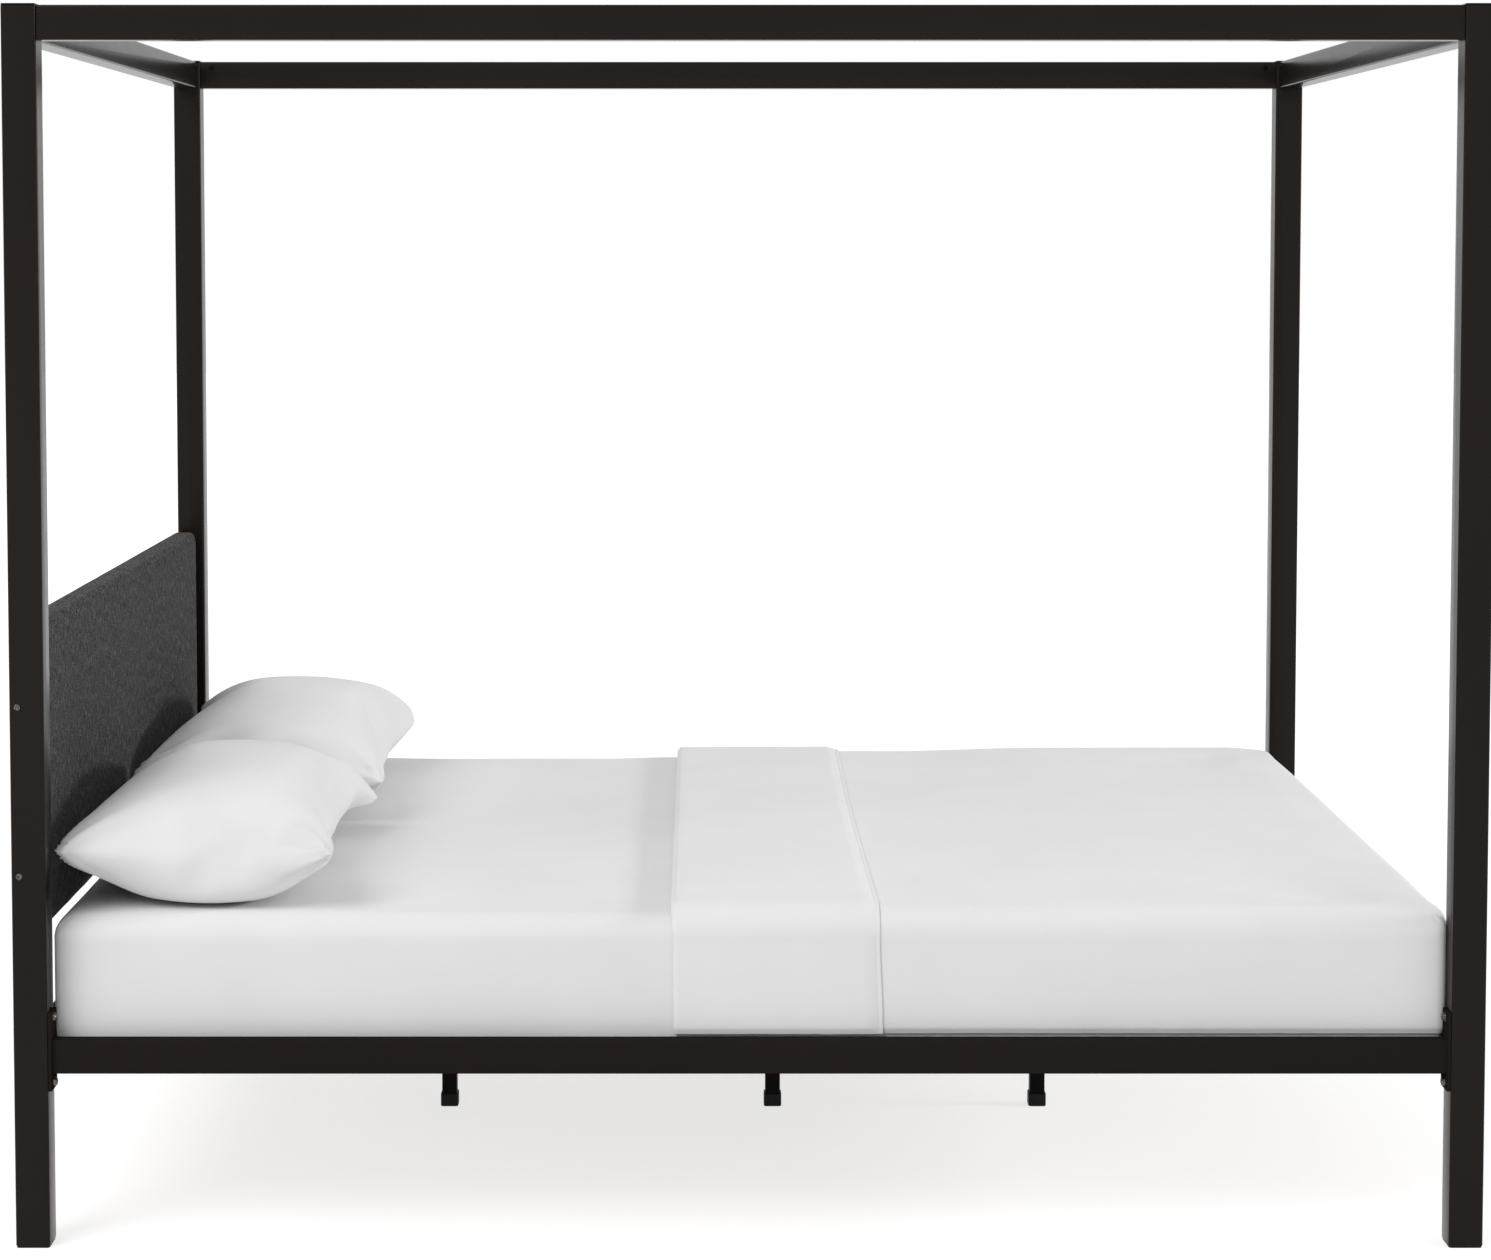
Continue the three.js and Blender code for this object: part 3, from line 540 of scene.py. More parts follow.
def draped(points, low, high, open_head=False):
    """Points on a box's top and walls, moved onto the shape that cloth takes over it: the top's edges are
    round, and the upright corners have a small radius that grows towards the top.
    Also gives each point's outward direction. An open head isn't rounded."""
    roll = roll_at(points, low, high, open_head)
    below_top = high[2] - points[:, 2]
    on_wall = below_top > 1e-9
    from_low, from_high = points[:, :2] - low[:2], high[:2] - points[:, :2]
    if open_head:
        from_low[:, 0] = np.inf
    inward = np.minimum(from_low, from_high).min(axis=1)
    arc = np.clip(np.where(on_wall, -below_top, inward) / roll, -1, 1)
    lean = math.pi / 4 * (1 + arc)
    wall_inset = roll * (1 - np.cos(lean))

    def inset(distance, roll):
        turn = math.pi / 4 * (1 + np.clip(distance / roll, -1, 1))
        return np.where(distance < roll, roll * (1 - np.cos(turn)), distance)

    walls, wide = on_wall[:, None], roll[:, None]
    near_low = np.where(walls, np.maximum(from_low, wall_inset[:, None]), inset(from_low, wide))
    near_high = np.where(walls, np.maximum(from_high, wall_inset[:, None]), inset(from_high, wide))
    flat = np.where(from_low < from_high, low[:2] + near_low, high[:2] - near_high)
    depth = np.where(on_wall, wall_inset, inset(inward, roll))
    radius = CORNER + (CORNER_TOP - CORNER) * np.clip(depth / roll, 0, 1)
    radius = radius * (1 - rising(depth, roll, roll + CORNER_FADE)) + 1e-6
    edge = (depth + radius)[:, None]
    inner_low, inner_high = low[:2] + edge, high[:2] - edge
    if open_head:
        inner_low[:, 0] = low[0]
    inner = np.clip(flat, inner_low, inner_high)
    away = flat - inner
    length = np.maximum(np.linalg.norm(away, axis=1, keepdims=True), 1e-9)
    cornered = (np.abs(away) > 1e-9).all(axis=1)[:, None]
    plan = np.where(cornered, inner + away / length * radius[:, None], flat)
    height = np.where(arc > -1, high[2] - roll * (1 - np.sin(lean)), points[:, 2])
    outward = np.column_stack([away / length * np.cos(lean)[:, None], np.sin(lean)])
    return np.column_stack([plan, height]), outward


def uneven(points, outward):
    """Points moved by the shallow unevenness that all layers of the bedding share: broad waves, upright
    ripples down the sides, a swell along the far side and a soft hollow before each corner at the foot."""
    broad = smooth_noise(points, 2.4, 3.1)
    ripples = smooth_noise(points * np.array([1.0, 1.0, 0.3]), 8.5, 7.7)
    side = 1 - np.abs(outward[:, 2])
    moved = points + outward * (WAVE * broad + RIPPLE * ripples * side)[:, None]
    upper = rising(points[:, 2], mattress_high[2] - 80 * MM, mattress_high[2] - 20 * MM)
    moved[:, 2] += upper * (far_swell(points) - corner_hollow(points))
    return moved


def far_swell(points):
    """How far the bedding stands up along its far side near the foot, and sinks a little before the band."""
    x, y = points[:, 0], points[:, 1]
    swell = SWELL * rising(x, *SWELL_START) * (1 - rising(x, *SWELL_END))
    dip = DIP * rising(x, *DIP_START) * (1 - rising(x, *DIP_END))
    return rising(y, *FAR_SIDE) * (swell - dip)


def corner_hollow(points):
    """How far the top sinks along a soft diagonal towards each corner of the foot end."""
    sink = np.zeros(len(points))
    foot, edge = mattress_high[:2]
    for side, depth in ((-1, NEAR_HOLLOW), (1, FAR_HOLLOW)):
        start, end = (np.array([foot - along, side * (edge - across)])
                      for along, across in (HOLLOW_START, HOLLOW_END))
        along = end - start
        t = ((points[:, :2] - start) @ along) / (along @ along)
        across = (points[:, 0] - start[0]) * along[1] - (points[:, 1] - start[1]) * along[0]
        across = across * side / np.linalg.norm(along)
        width = np.where(across > 0, 0.12, 0.08)
        to_edge = edge - side * points[:, 1]
        shallow = (1 - 0.75 * rising(points[:, 0], foot - 0.16, foot - 0.01)) * rising(to_edge, 0.01, 0.12)
        sink += depth * rising(t, 0, 0.8) * bell(across, 0, width) * shallow
    return sink


def tucked(points, quads, rim, low):
    """The layer goes on under the mattress from its lowest ring, a little gathered by its elastic hem."""
    points, quads = list(points), list(quads)
    centre = np.array(points)[rim].mean(0)
    count, ring = len(rim), rim
    for share, gather in ((0.35, 0.0), (0.7, 0.25), (1.0, 1.0)):
        start = len(points)
        for n, at in enumerate(rim):
            x, y = points[at][:2] + np.clip(centre - points[at], -1, 1)[:2] * SHEET_TUCK * share
            wave = TUCK_GATHER * gather * abs(math.sin(n * 1.9) * math.sin(n * 0.37))
            points.append(np.array([x, y, low[2] + TUCK_GATHER * gather + wave]))
        new = list(range(start, len(points)))
        quads += [[ring[(n + 1) % count], ring[n], new[n], new[(n + 1) % count]] for n in range(count)]
        ring = new
    return np.array(points), quads


def bedding_shell(name, low, high, closed=False):
    """A layer drawn over the mattress and tucked in under its edge. A closed one has an underside."""
    xs, ys, zs = bedding_lines(low, high)
    index, points, quads = box_lattice(xs, ys, zs, ("top", "right", "left", "head", "foot"))
    points = uneven(*draped(points, low, high))
    rim = [index[(i, j, 0)] for i, j in border(len(xs), len(ys))]
    points, quads = tucked(points, quads, rim, low)
    if closed:
        quads.append(list(range(len(points) - len(rim), len(points)))[::-1])
    return add_mesh(name, points, quads)


def add_mattress():
    """Foam mattress in ticking, a little inside the sheet."""
    room = 1.6 * SHEET_THICKNESS
    piece = bedding_shell("mattress_core", mattress_low + room, mattress_high - room, closed=True)
    place(piece, "mattress_body", "sheet", "mattress_ticking", "mattress")


def add_sheet():
    """Fitted sheet, whose cut leaves a square out at each corner."""
    half = SHEET_THICKNESS / 2
    low, high = mattress_low + half, mattress_high - half
    low[2] += 0.2 * MM
    piece = bedding_shell("fitted_sheet", low, high)
    add_modifier(piece, "SOLIDIFY", thickness=SHEET_THICKNESS, offset=0)
    apply_modifiers(piece)
    place(piece, "mattress_body", "sheet", "sheet_cotton")


# ---- duvet

def add_duvet():
    """A thin duvet over the foot end of the mattress, its head end folded back over itself as a band.
    Its cloth starts as one surface, which is the underside, the outside of the fold and then the upper side
    of the band, and gets its thickness on the other side of that."""
    low = np.array([duvet_low[0], mattress_low[1] - LAYER_GAP, duvet_low[2] - HEM_DROP])
    high = mattress_high + LAYER_GAP
    side_room, top_room = duvet_high[1] - high[1], duvet_high[2] - high[2]
    low[0] += top_room / 2

    def room(outward):
        return side_room + (top_room - side_room) * np.abs(outward[:, 2])

    xs, ys, zs = bedding_lines(low, high)
    index, main, quads = box_lattice(xs, ys, zs, ("top", "right", "left", "foot"))
    main, outward = draped(main, low, high, open_head=True)
    share = FOLD_SHARE + (DUVET_SHARE - FOLD_SHARE) * rising(main[:, 0], low[0], low[0] + FOLD_FADE)
    thickness = room(outward) * share * plain_hem(main[:, 2] - low[2])
    main = uneven(main, outward) + outward * hem_pulls(main, low)[:, None]

    free_edge = low[0] + BAND_WIDTH
    hem_start = free_edge - 30 * MM
    xs = spaced((low[0], hem_start, CLOTH_STEP), (hem_start, free_edge, HEM_STEP))
    band_index, band, band_quads = box_lattice(xs, ys, zs, ("top", "right", "left"))
    to_edge = free_edge - band[:, 0]
    band, outward = draped(band, low, high, open_head=True)
    hem = stitched_hem(to_edge) * plain_hem(band[:, 2] - low[2])
    rise = room(outward) * (1 - BAND_SHARE * (1 - hem)) + hem_pulls(band, low)
    band_thickness = room(outward) * BAND_SHARE * hem
    band = uneven(band, outward) + outward * rise[:, None]
    band[:, 0] += free_edge_sway(band) * (1 - to_edge / BAND_WIDTH)

    first = len(main)
    quads = [quad[::-1] for quad in quads] + [[first + v for v in quad] for quad in band_quads]
    lower = fold_path(index, len(ys), len(zs))
    upper = [first + v for v in fold_path(band_index, len(ys), len(zs))]
    points, quads = folded(np.concatenate([main, band]), quads, lower, upper)
    thickness = np.concatenate([thickness, band_thickness])
    thickness = np.concatenate([thickness] + [thickness[upper]] * (FOLD_STEPS - 1))
    piece = add_mesh("duvet_cover", points, quads)
    group = piece.vertex_groups.new(name="thickness")
    for number, share in enumerate(thickness / thickness.max()):
        group.add([number], share, "REPLACE")
    add_modifier(piece, "SOLIDIFY", thickness=thickness.max(), offset=-1, vertex_group="thickness")
    apply_modifiers(piece)
    place(piece, "duvet_body", "duvet_cotton", "duvet_cotton", "duvet")


def plain_hem(to_edge):
    """The share of its full thickness that a layer has near its lower edge."""
    return 0.6 + 0.4 * rising(to_edge, 0, 10 * MM)


def stitched_hem(to_edge):
    """The same near the band's free edge, with a line of stitches pressed in."""
    stitches = 0.16 * bell(to_edge, HEM_DEPTH, 0.22 * HEM_DEPTH)
    return 0.42 + 0.58 * rising(to_edge, 0, 24 * MM) - stitches


def hem_pulls(points, low):
    """Small upright pulls in the cloth along the lower hem."""
    fine = smooth_noise(points * np.array([1.0, 1.0, 0.12]), 55.0, 4.4)
    return HEM_PULL * fine * np.exp(-(points[:, 2] - low[2]) / (14 * MM))


def free_edge_sway(points):
    """How far the band's free edge lies from a straight line: a little towards the foot at the sides."""
    beside = (points[:, 1] / duvet_high[1]) ** 2
    down = rising(mattress_high[2] - points[:, 2], 20 * MM, 170 * MM) * (points[:, 1] < 0)
    return 4 * MM * beside + 5 * MM * down


def fold_path(index, ny, nz):
    """Points along a layer's head edge: up the near side, over the top and down the far side."""
    keys = [(0, 0, k) for k in range(nz)] + [(0, j, nz - 1) for j in range(1, ny)]
    keys += [(0, ny - 1, k) for k in range(nz - 2, -1, -1)]
    return [index[k] for k in keys]


def folded(points, quads, lower, upper):
    """Joins the layers' head edges by a half round roll."""
    points, quads = list(points), list(quads)
    before = lower
    for n in range(1, FOLD_STEPS + 1):
        turn = math.pi * n / FOLD_STEPS
        ring = upper
        if n < FOLD_STEPS:
            ring = list(range(len(points), len(points) + len(lower)))
            for a, b in zip(lower, upper):
                middle, arm = (points[a] + points[b]) / 2, (points[b] - points[a]) / 2
                reach = np.linalg.norm(arm) * math.sin(turn)
                points.append(middle - arm * math.cos(turn) - [reach, 0, 0])
        quads += [[before[k], ring[k], ring[k + 1], before[k + 1]] for k in range(len(lower) - 1)]
        before = ring
    return np.array(points), quads


# ---- pillows

def pillow_bag(width, length):
    """Two panels of cloth joined at their edges, slightly puffed: points, quads and the seam's points."""
    nx, ny = round(width / PILLOW_STEP), round(length / PILLOW_STEP)
    index, points, quads = {}, [], []
    for side in (1, -1):
        for i in range(nx + 1):
            for j in range(ny + 1):
                u, v = 2 * i / nx - 1, 2 * j / ny - 1
                on_seam = abs(u) == 1 or abs(v) == 1
                key = (i, j, 0 if on_seam else side)
                if key not in index:
                    index[key] = len(points)
                    height = 0 if on_seam else side * PILLOW_PUFF * math.sqrt((1 - u * u) * (1 - v * v))
                    points.append((u * width / 2, v * length / 2, height))
        for i in range(nx):
            for j in range(ny):
                quad = [index.get((a, b, side), index.get((a, b, 0)))
                        for a, b in ((i, j), (i + 1, j), (i + 1, j + 1), (i, j + 1))]
                quads.append(quad if side > 0 else quad[::-1])
    return np.array(points), quads, [index[k] for k in index if k[2] == 0]


def add_slab(top):
    """A block for cloth to rest on while it is simulated."""
    corners = [(x, y, z) for x in (-1.2, 1.2) for y in (-1.0, 1.0) for z in (top - 0.2, top)]
    faces = [(0, 1, 3, 2), (4, 6, 7, 5), (0, 4, 5, 1), (2, 3, 7, 6), (0, 2, 6, 4), (1, 5, 7, 3)]
    slab = add_mesh("rest", corners, faces, smooth=False)
    slab.modifiers.new("Collision", "COLLISION")
    slab.collision.thickness_outer = 3 * MM
    slab.collision.cloth_friction = 15
    return slab


def inflate(piece, volume):
    """Simulates the bag's cloth while it fills to a volume and settles on the mattress."""
    cloth = piece.modifiers.new("Cloth", "CLOTH")
    settings = cloth.settings
    settings.quality = 6
    settings.mass = 0.01
    settings.tension_stiffness = settings.compression_stiffness = 20
    settings.shear_stiffness = 5
    settings.bending_stiffness = 1.5
    settings.tension_damping = settings.compression_damping = settings.shear_damping = 5
    settings.air_damping = 5
    settings.effector_weights.gravity = 0.7
    settings.use_pressure = True
    settings.use_pressure_volume = True
    settings.target_volume = volume
    settings.uniform_pressure_force = 0
    for factor, number in ((5, 1), (300, 30)):
        settings.pressure_factor = factor
        settings.keyframe_insert("pressure_factor", frame=number)
    cloth.collision_settings.use_self_collision = False
    cloth.collision_settings.distance_min = 3 * MM
    cloth.point_cache.frame_end = scene.frame_end = PILLOW_FRAMES
    for number in range(1, PILLOW_FRAMES + 1):
        scene.frame_set(number)
    apply_modifiers(piece)
    piece.data.animation_data_clear()


def relaxed(points, quads, rounds=6):
    """Points moved half way to the middle of their neighbours a few times, which takes out the finest
    wrinkles."""
    pairs = np.array([(q[n], q[(n + 1) % 4]) for q in quads for n in range(4)])
    count = np.bincount(pairs[:, 0], minlength=len(points)) + np.bincount(pairs[:, 1], minlength=len(points))
    for _ in range(rounds):
        total = np.zeros_like(points)
        np.add.at(total, pairs[:, 0], points[pairs[:, 1]])
        np.add.at(total, pairs[:, 1], points[pairs[:, 0]])
        points = points + (total / count[:, None] - points) * 0.5
    return points


def slept_on(points, low, high, blunt):
    """The settled pillow as use has left it: its filling has moved towards the foot side's upper edge, the
    seam there is drawn in between its corners, and the belly is round. u runs from -1 at the pillow's head
    side to 1 at its foot side, and v from -1 at its near end to 1 at its far end."""
    middle, half = (low + high) / 2, (high - low) / 2
    u, v = (points[:, 0] - middle[0]) / half[0], (points[:, 1] - middle[1]) / half[1]
    above = (points[:, 2] - middle[2] + SEAM_BELOW_MIDDLE) / half[2]
    moved = points.copy()
    moved[:, 0] += 34 * MM * np.clip(above, 0, 1) ** 1.5 * (1 - rising(np.abs(u), 0.1, 1.1))
    drawn = rising(u, -0.1, 0.9) * (1 - rising(np.abs(v - 0.2 * v * v), 0.30, 0.92))
    moved[:, 0] -= (10 * MM if blunt else 24 * MM) * drawn
    lift = 26 * MM * rising(u, 0.40, 0.85) + 20 * MM * rising(-u, 0.35, 0.80)
    moved[:, 2] += lift * np.clip(-above, 0, 1)
    return blunt_corner(moved, high, u, v, above) if blunt else bent_tips(moved, u, v)


def bent_tips(points, u, v):
    """A pillow whose far tips are bent, down at the foot side and up at the head side."""
    foot_side = rising(u, 0.62, 0.98)
    tip, before_tip = foot_side * rising(v, 0.72, 0.98), foot_side * bell(v, 0.70, 0.16)
    head_tip = rising(-u, 0.72, 0.98) * rising(v, 0.75, 0.99)
    near_tip = rising(u, 0.55, 0.97) * rising(-v, 0.55, 0.97)
    points[:, 2] += 12 * MM * before_tip - 18 * MM * tip + 13 * MM * head_tip + 14 * MM * near_tip
    points[:, 0] += 9 * MM * head_tip - 3 * MM * tip - 8 * MM * before_tip
    return points


def blunt_corner(points, high, u, v, above):
    """A pillow that is full at both ends, its far foot corner rounded off."""
    full = 32 * MM * rising(u, -0.1, 0.8) * rising(v, 0, 0.8) + 14 * MM * rising(-v, 0.1, 0.7)
    points[:, 2] += full * np.clip(above, 0, 1) * (1 - above ** 2)
    inner = high[:2] - BLUNT_RADIUS
    away = np.maximum(points[:, :2] - inner, 0)
    reach = np.linalg.norm(away, axis=1, keepdims=True)
    beyond = (reach[:, 0] > BLUNT_RADIUS) & (away > 0).all(axis=1)
    points[beyond, :2] = inner + (away / np.maximum(reach, 1e-9) * BLUNT_RADIUS)[beyond]
    return points


def tip_creases(points, low, high, blunt):
    """Creases that fan out from each of a pillow's tips."""
    height = np.zeros(len(points))
    seed = 1.0 + low[1]
    tips = ((low[0], low[1]), (low[0], high[1]), (high[0], low[1]), (high[0], high[1]))
    for number, tip in enumerate(tips[:3] if blunt else tips):
        out = points[:, :2] - np.array(tip)
        distance = np.linalg.norm(out, axis=1)
        angle = np.arctan2(np.abs(out[:, 1]), np.abs(out[:, 0]))
        fan = np.sin(angle * 13 + seed + 2.1 * number) + 0.5 * np.sin(angle * 23 + 1.7 * seed + number)
        height += CREASE_DEPTH * fan * rising(distance, 0, 20 * MM) * bell(distance, 0, 85 * MM)
    return height


def points_of(piece):
    return np.array([v.co for v in piece.data.vertices])


def add_pillow(side, width, length, volume, tilt):
    """One pillow: a sewn cotton bag filled and settled in the place that its CAD solid holds."""
    blunt = side == "left"
    low, high = box_of("pillow_" + side)
    centre = (low + high) / 2
    points, quads, seam = pillow_bag(width, length)
    turn = np.array([[math.cos(tilt), 0, math.sin(tilt)], [0, 1, 0], [-math.sin(tilt), 0, math.cos(tilt)]])
    start = points @ turn.T + [centre[0], centre[1], low[2] + PILLOW_DROP]
    piece = add_mesh("pillow_" + side + "_case", start, quads)
    slab = add_slab(low[2])
    inflate(piece, volume)
    bpy.data.objects.remove(slab)
    settled = relaxed(points_of(piece), quads)
    lowest, highest = settled.min(0), settled.max(0)
    settled = low + (settled - lowest) / (highest - lowest) * (high - low)
    piece.data.vertices.foreach_set("co", slept_on(settled, low, high, blunt).ravel())
    crease = piece.data.attributes.new("crease_edge", "FLOAT", "EDGE")
    ends = np.array([e.vertices[:] for e in piece.data.edges])
    crease.data.foreach_set("value", np.isin(ends, seam).all(axis=1).astype(np.float32) * 0.7)
    add_modifier(piece, "SUBSURF", levels=1, render_levels=1)
    apply_modifiers(piece)
    points = points_of(piece)
    normals = np.array([v.normal for v in piece.data.vertices])
    points += normals * tip_creases(points, low, high, blunt)[:, None]
    piece.data.vertices.foreach_set("co", points.ravel())
    piece.data.update()
    place(piece, "pillow_" + side + "_body", "pillow_cotton", "pillow_cotton", "pillow_" + side)


# ---- headboard

def add_headboard_cover():
    """Padded cloth over the board's front, drawn round its edges and stapled on its back."""
    pad_low, pad_high = box_of("headboard_pad")
    board_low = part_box("headboard_board")[0]
    ys, zs = (evenly(pad_low[a], pad_high[a], COVER_STEP) for a in (1, 2))
    outline = np.array([(ys[j], zs[k]) for j, k in border(len(ys), len(zs))])
    low, high = pad_low[1:], pad_high[1:]
    middle = (low + high) / 2
    spots = np.column_stack([outline, np.zeros(len(outline))])
    puckers = smooth_noise(spots, 28.0, 2.2) + 1.2 * smooth_noise(spots, 7.0, 5.1) + 0.6
    deepest = board_low[1] - pad_low[1] - 0.5 * MM

    def ring(inset, x, pucker):
        """The outline at X, moved inwards by an inset and by its puckers, with round corners."""
        radius = max(COVER_CORNER - inset, 1 * MM)
        a, b = low + inset, high - inset
        on_edge = np.clip(outline, a, b)
        inner = np.clip(on_edge, a + radius, b - radius)
        away = on_edge - inner
        length = np.linalg.norm(away, axis=1, keepdims=True)
        placed = np.where(length > 1e-9, inner + away / np.maximum(length, 1e-9) * radius, on_edge)
        gather = np.clip(pucker * puckers, 0, deepest)[:, None]
        placed = placed + (middle - placed) / np.linalg.norm(middle - placed, axis=1, keepdims=True) * gather
        return np.column_stack([np.full(len(placed), x), placed])

    rings = [ring(*at) for at in cover_profile(board_low[0] - 1.6 * MM, pad_high[0])]
    count = len(outline)
    quads = [quad for n in range(len(rings) - 1) for quad in ring_quads(n * count, (n + 1) * count, count)]
    points, quads = filled_front(np.concatenate(rings), quads, len(ys), len(zs))
    piece = add_mesh("headboard_cover", points, quads)
    add_modifier(piece, "SOLIDIFY", thickness=COVER_THICKNESS, offset=-1)
    add_modifier(piece, "SUBSURF", levels=1, render_levels=1)
    apply_modifiers(piece)
    place(piece, "bed_frame", "headboard_fabric", "headboard_fabric", "headboard_pad")


def cover_profile(back, front):
    """The cover's section, from its raw edge on the board's back round to its front: how far each ring of
    points lies inside the outline, its X, and how deep its puckers are."""
    side_end = front - COVER_EDGE
    profile = [(34 * MM, back, 0), (17 * MM, back - 0.4 * MM, 0), (4 * MM, back, 0),
               (1 * MM, back + 1.2 * MM, 0), (0, back + 4 * MM, 1.5 * MM)]
    profile += [(0, x, 2.2 * MM) for x in evenly(back + 10 * MM, side_end, 7 * MM)]
    for step in range(1, 5):
        turn = step * math.pi / 8
        x = side_end + 0.8 * COVER_EDGE * math.sin(turn)
        profile.append((COVER_EDGE * (1 - math.cos(turn)), x, 1.8 * MM))
    return profile + [(inset, front - depth, 0) for inset, depth in
                      ((18 * MM, 1.4 * MM), (26 * MM, 0.8 * MM), (34 * MM, 0.4 * MM))]


def filled_front(points, quads, ny, nz):
    """The front's middle: a grid inside the last ring, with slight waves."""
    keys = border(ny, nz)
    index = {key: len(points) - len(keys) + n for n, key in enumerate(keys)}
    points = list(points)
    for j in range(1, ny - 1):
        for k in range(1, nz - 1):
            left, right = points[index[(0, k)]], points[index[(ny - 1, k)]]
            below, above = points[index[(j, 0)]], points[index[(j, nz - 1)]]
            y = below[1] + (above[1] - below[1]) * k / (nz - 1)
            z = left[2] + (right[2] - left[2]) * j / (ny - 1)
            wave = 0.35 * MM * noise.noise(Vector((y * 6, z * 6, 3.3)))
            index[(j, k)] = len(points)
            points.append(np.array([below[0] + wave, y, z]))
    quads += [[index[(j, k)], index[(j + 1, k)], index[(j + 1, k + 1)], index[(j, k + 1)]]
              for j in range(ny - 1) for k in range(nz - 1)]
    return np.array(points), quads


def add_dust_cover():
    """Thin cloth that covers the headboard's back, its edges drawn in a little between their staples."""
    low, high = box_of("headboard_board")
    margin, lift = 14 * MM, 2.6 * MM
    a, b = low[1:] + margin, high[1:] - margin
    ys, zs = evenly(a[0], b[0], CLOTH_STEP), evenly(a[1], b[1], CLOTH_STEP)
    points = np.array([(low[0] - lift, y, z) for y in ys for z in zs])
    for axis, other in ((1, 2), (2, 1)):
        at_start = np.abs(points[:, axis] - a[axis - 1]) < 1e-6
        at_stop = np.abs(points[:, axis] - b[axis - 1]) < 1e-6
        drawn = np.abs(np.sin(math.pi * (points[:, other] - a[other - 1]) / STAPLE_SPACING))
        points[:, axis] += 1.6 * MM * drawn * (1.0 * at_start - 1.0 * at_stop)
    points[:, 0] += 0.5 * MM * smooth_noise(points, 9.0, 1.3)
    count = len(zs)
    quads = [(i * count + k, i * count + k + 1, (i + 1) * count + k + 1, (i + 1) * count + k)
             for i in range(len(ys) - 1) for k in range(count - 1)]
    piece = add_mesh("dust_cover", points, quads)
    add_modifier(piece, "SOLIDIFY", thickness=0.5 * MM, offset=0)
    apply_modifiers(piece)
    place(piece, "bed_frame", "headboard_fabric", "dust_cover_cloth")
    add_staples(a + 6 * MM, b - 6 * MM, low[0] - lift - 0.5 * MM)


def add_staples(low, high, x):
    """Wire staples in a row along each edge of the dust cover."""
    crown, wire, sides = 5 * MM, 0.6 * MM, 6
    places = [(y, z, 1, 0) for y in evenly(low[0], high[0], STAPLE_SPACING) for z in (low[1], high[1])]
    places += [(y, z, 0, 1) for z in evenly(low[1], high[1], STAPLE_SPACING)[1:-1] for y in (low[0], high[0])]
    staples = []
    for y, z, along_y, along_z in places:
        points = []
        for end in (-crown, crown):
            for step in range(sides):
                turn = 2 * math.pi * step / sides
                side, out = wire * math.cos(turn), wire * math.sin(turn)
                points.append((x - out, y + end * along_y + side * along_z,
                               z + end * along_z + side * along_y))
        staples.append(points)
    add_fittings("dust_cover_staples", staples, sides, "bolt_steel", crisp=False)


# ---- screws

def add_fittings(name, stacks, count, material, crisp=True):
    """One piece that holds a group of like metal fittings, each a stack of rings of points with closed ends.
    Those that are crisp keep their sharp edges."""
    points, faces = [], []
    for stack in stacks:
        first, last = len(points), len(points) + len(stack) - count
        for start in range(first, last, count):
            faces += ring_quads(start, start + count, count)
        faces += [list(range(first + count - 1, first - 1, -1)), list(range(last, last + count))]
        points += stack
    piece = add_mesh(name, points, faces)
    shape = bmesh.new()
    shape.from_mesh(piece.data)
    bmesh.ops.recalc_face_normals(shape, faces=shape.faces)
    shape.to_mesh(piece.data)
    shape.free()
    if crisp:
        piece.modifiers.new("Smooth", "NODES").node_group = SMOOTH_FACETS
        apply_modifiers(piece)
    place(piece, "bed_frame", "bolt_steel", material)


def screw_points(place, outward, radius):
    """Rings of points of a round headed screw with a hexagon socket, from its shank to the socket's floor."""
    turned = Vector(outward).to_track_quat("Z", "Y")
    points = []
    for share, rise, hexagon in SCREW_PROFILE:
        for n in range(SCREW_SIDES):
            angle = 2 * math.pi * n / SCREW_SIDES
            r = share * radius
            if hexagon:
                r *= math.cos(math.pi / 6) / math.cos((angle % (math.pi / 3)) - math.pi / 6)
            spot = Vector((r * math.cos(angle), r * math.sin(angle), rise * SCREW_HEIGHT * radius))
            points.append(Vector(place) + turned @ spot)
    return points


def add_frame_screws():
    """Screws through the inner walls of the canopy rails, and those that hold the slat angles."""
    from_end, below_top = 21.5 * MM, 11 * MM
    canopy, angles = [], []
    for rail, along in (("right", 0), ("left", 0), ("head", 1), ("foot", 1)):
        low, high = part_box("canopy_rail_" + rail)
        across = 1 - along
        inner_wall = min(low[across], high[across], key=abs)
        for end in (low[along] + from_end, high[along] - from_end):
            spot, outward = [0, 0, high[2] - below_top], [0, 0, 0]
            spot[along], spot[across] = end, inner_wall
            outward[across] = -math.copysign(1, inner_wall)
            canopy.append(screw_points(spot, outward, 5 * MM))
    wall, rise, inset = 3 * MM, 16 * MM, 91 * MM
    for side, inward in (("right", 1), ("left", -1)):
        low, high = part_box("rail_angle_" + side)
        face = (low[1] if inward > 0 else high[1]) + inward * wall
        for x in (low[0] + inset, 0, high[0] - inset):
            angles.append(screw_points((x, face, low[2] + rise), (0, inward, 0), 4.5 * MM))
    add_fittings("canopy_screws", canopy, SCREW_SIDES, "black_steel")
    add_fittings("slat_angle_screws", angles, SCREW_SIDES, "bolt_steel")


# ---- stage, lights, camera

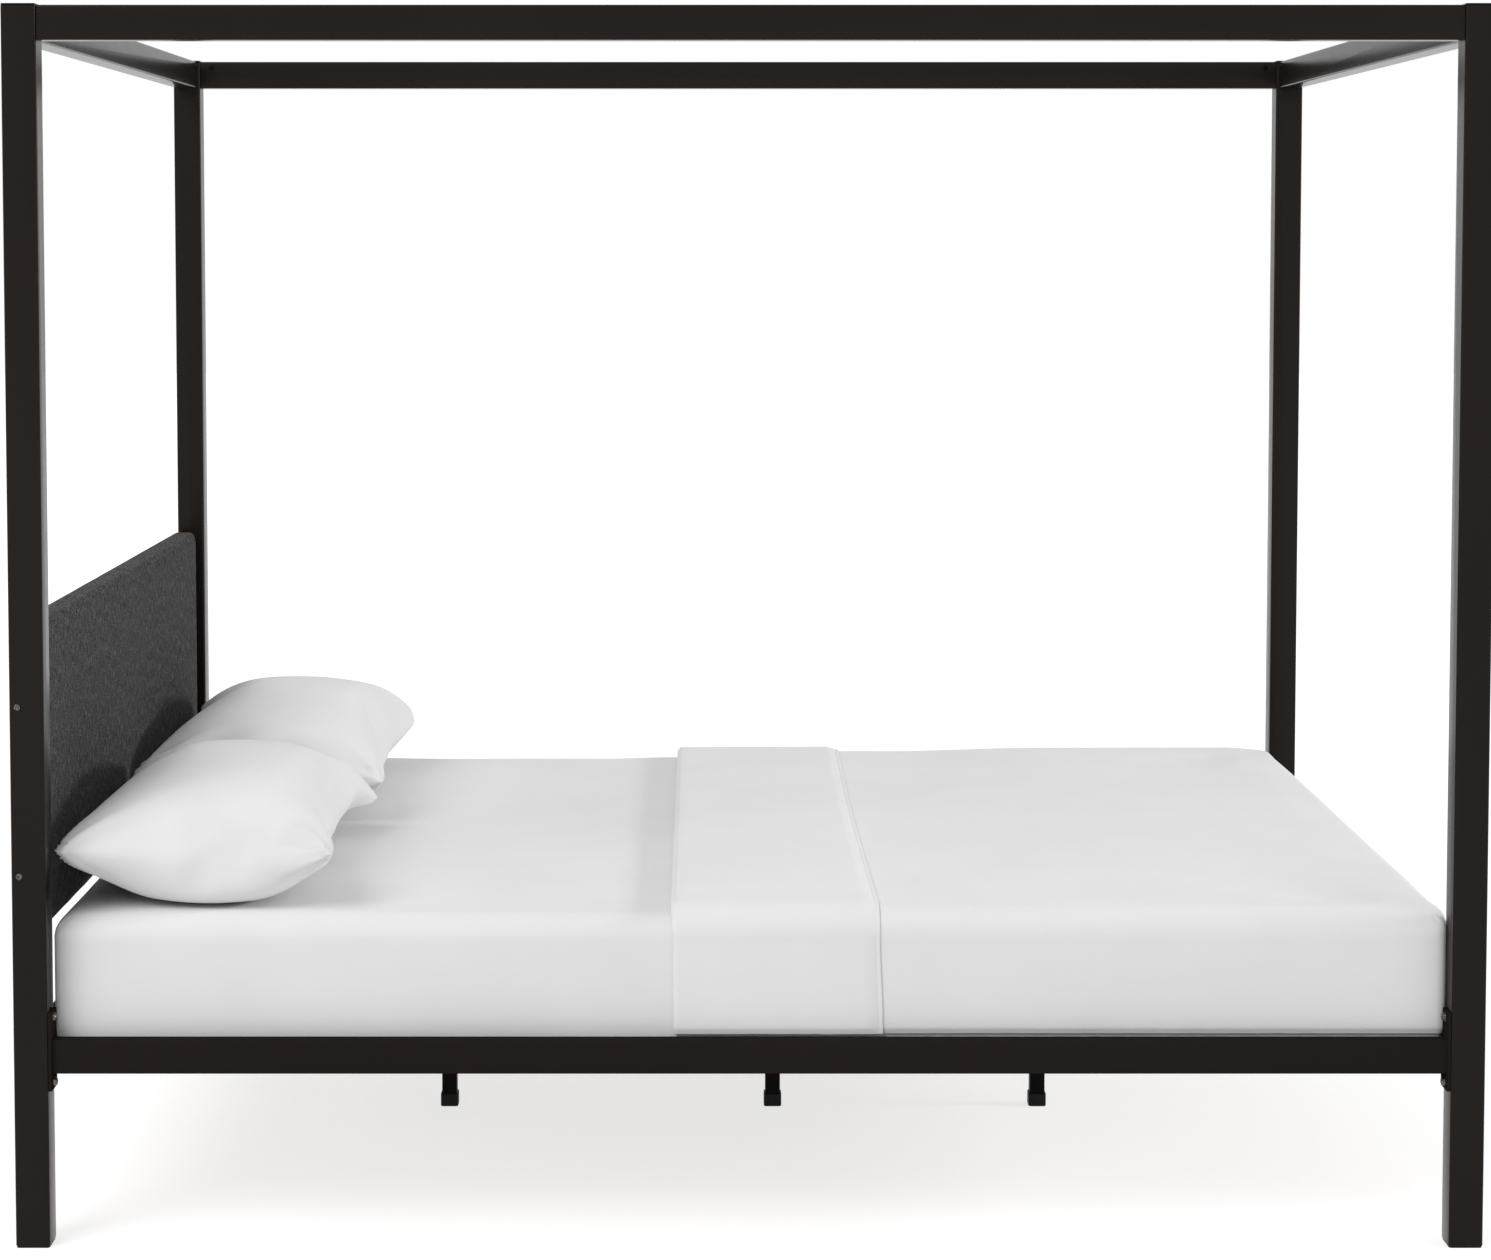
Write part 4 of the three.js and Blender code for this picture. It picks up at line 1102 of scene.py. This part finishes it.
def add_stage():
    """A plain pale floor that fades into a white background and keeps the object's shadow."""
    corners = [(x * FLOOR_HALF, y * FLOOR_HALF, 0) for x, y in ((-1, -1), (1, -1), (1, 1), (-1, 1))]
    floor = add_mesh("floor", corners, [(0, 1, 2, 3)], smooth=False)
    floor.location.z = cad_bounds[0].z - 0.2 * MM
    material = bpy.data.materials.new("floor")
    material.use_nodes = True
    tree = Tree(material.node_tree)
    tree.nodes.clear()
    place = tree.node("ShaderNodeTexCoord").outputs["Object"]
    from_bed = tree.node("ShaderNodeVectorMath", {0: place}, operation="LENGTH").outputs["Value"]
    brighter = tree.node("ShaderNodeMapRange", {"Value": from_bed, **FLOOR_GLOW}).outputs["Result"]
    glow = tree.node("ShaderNodeEmission", {"Color": (1, 1, 1, 1), "Strength": brighter})
    plain = tree.node("ShaderNodeBsdfDiffuse", {"Color": (*grey(FLOOR_COLOR), 1)})
    shown = tree.node("ShaderNodeBsdfDiffuse", {"Color": (*grey(FLOOR_SHOWN_COLOR), 1)})
    both = tree.node("ShaderNodeAddShader", {0: shown.outputs[0], 1: glow.outputs[0]})
    pick = tree.node("ShaderNodeMixShader", {0: seen_directly(tree), 1: plain.outputs[0], 2: both.outputs[0]})
    tree.node("ShaderNodeOutputMaterial", {"Surface": pick.outputs[0]})
    floor.data.materials.append(material)


def seen_directly(tree):
    """1 for camera, glossy and transmission rays, 0 for the rest."""
    path = tree.node("ShaderNodeLightPath").outputs
    camera_or_glossy = tree.math("MAXIMUM", path["Is Camera Ray"], path["Is Glossy Ray"])
    return tree.math("MAXIMUM", camera_or_glossy, path["Is Transmission Ray"])


def add_world():
    """A white surround: 1 where it is seen, a plain grey dome for lighting."""
    world = bpy.data.worlds.new("surround")
    scene.world = world
    world.use_nodes = True
    tree = Tree(world.node_tree)
    seen = seen_directly(tree)
    level = tree.node("ShaderNodeMapRange", {"Value": seen, "To Min": DOME_LEVEL, "To Max": 1.0})
    background = tree.nodes["Background"].inputs
    background["Color"].default_value = (1, 1, 1, 1)
    tree.links.new(level.outputs["Result"], background["Strength"])


def add_lamp(name, place, target, size, power):
    """A round area lamp that points at a target."""
    lamp = bpy.data.lights.new(name, "AREA")
    lamp.shape = "DISK"
    lamp.size = size
    lamp.energy = power
    add_object(name, lamp, place, (Vector(target) - Vector(place)).to_track_quat("-Z", "Y").to_euler())


def add_camera():
    camera = bpy.data.cameras.new("camera")
    camera.lens = CAMERA_LENS
    camera.shift_x, camera.shift_y = CAMERA_SHIFT
    camera.clip_end = 2 * FLOOR_HALF
    scene.camera = add_object("camera", camera, CAMERA_PLACE, (math.pi / 2 - CAMERA_PITCH, 0, 0))


# ---- the bed

add_camera()
add_world()
add_lamp("window", *WINDOW)
add_lamp("far_window", *FAR_WINDOW)
add_stage()
finish_frame()
add_mattress()
add_sheet()
add_duvet()
add_pillow("right", *PILLOWS["right"])
add_pillow("left", *PILLOWS["left"])
add_headboard_cover()
add_dust_cover()
add_frame_screws()

scene.view_settings.view_transform = "Standard"
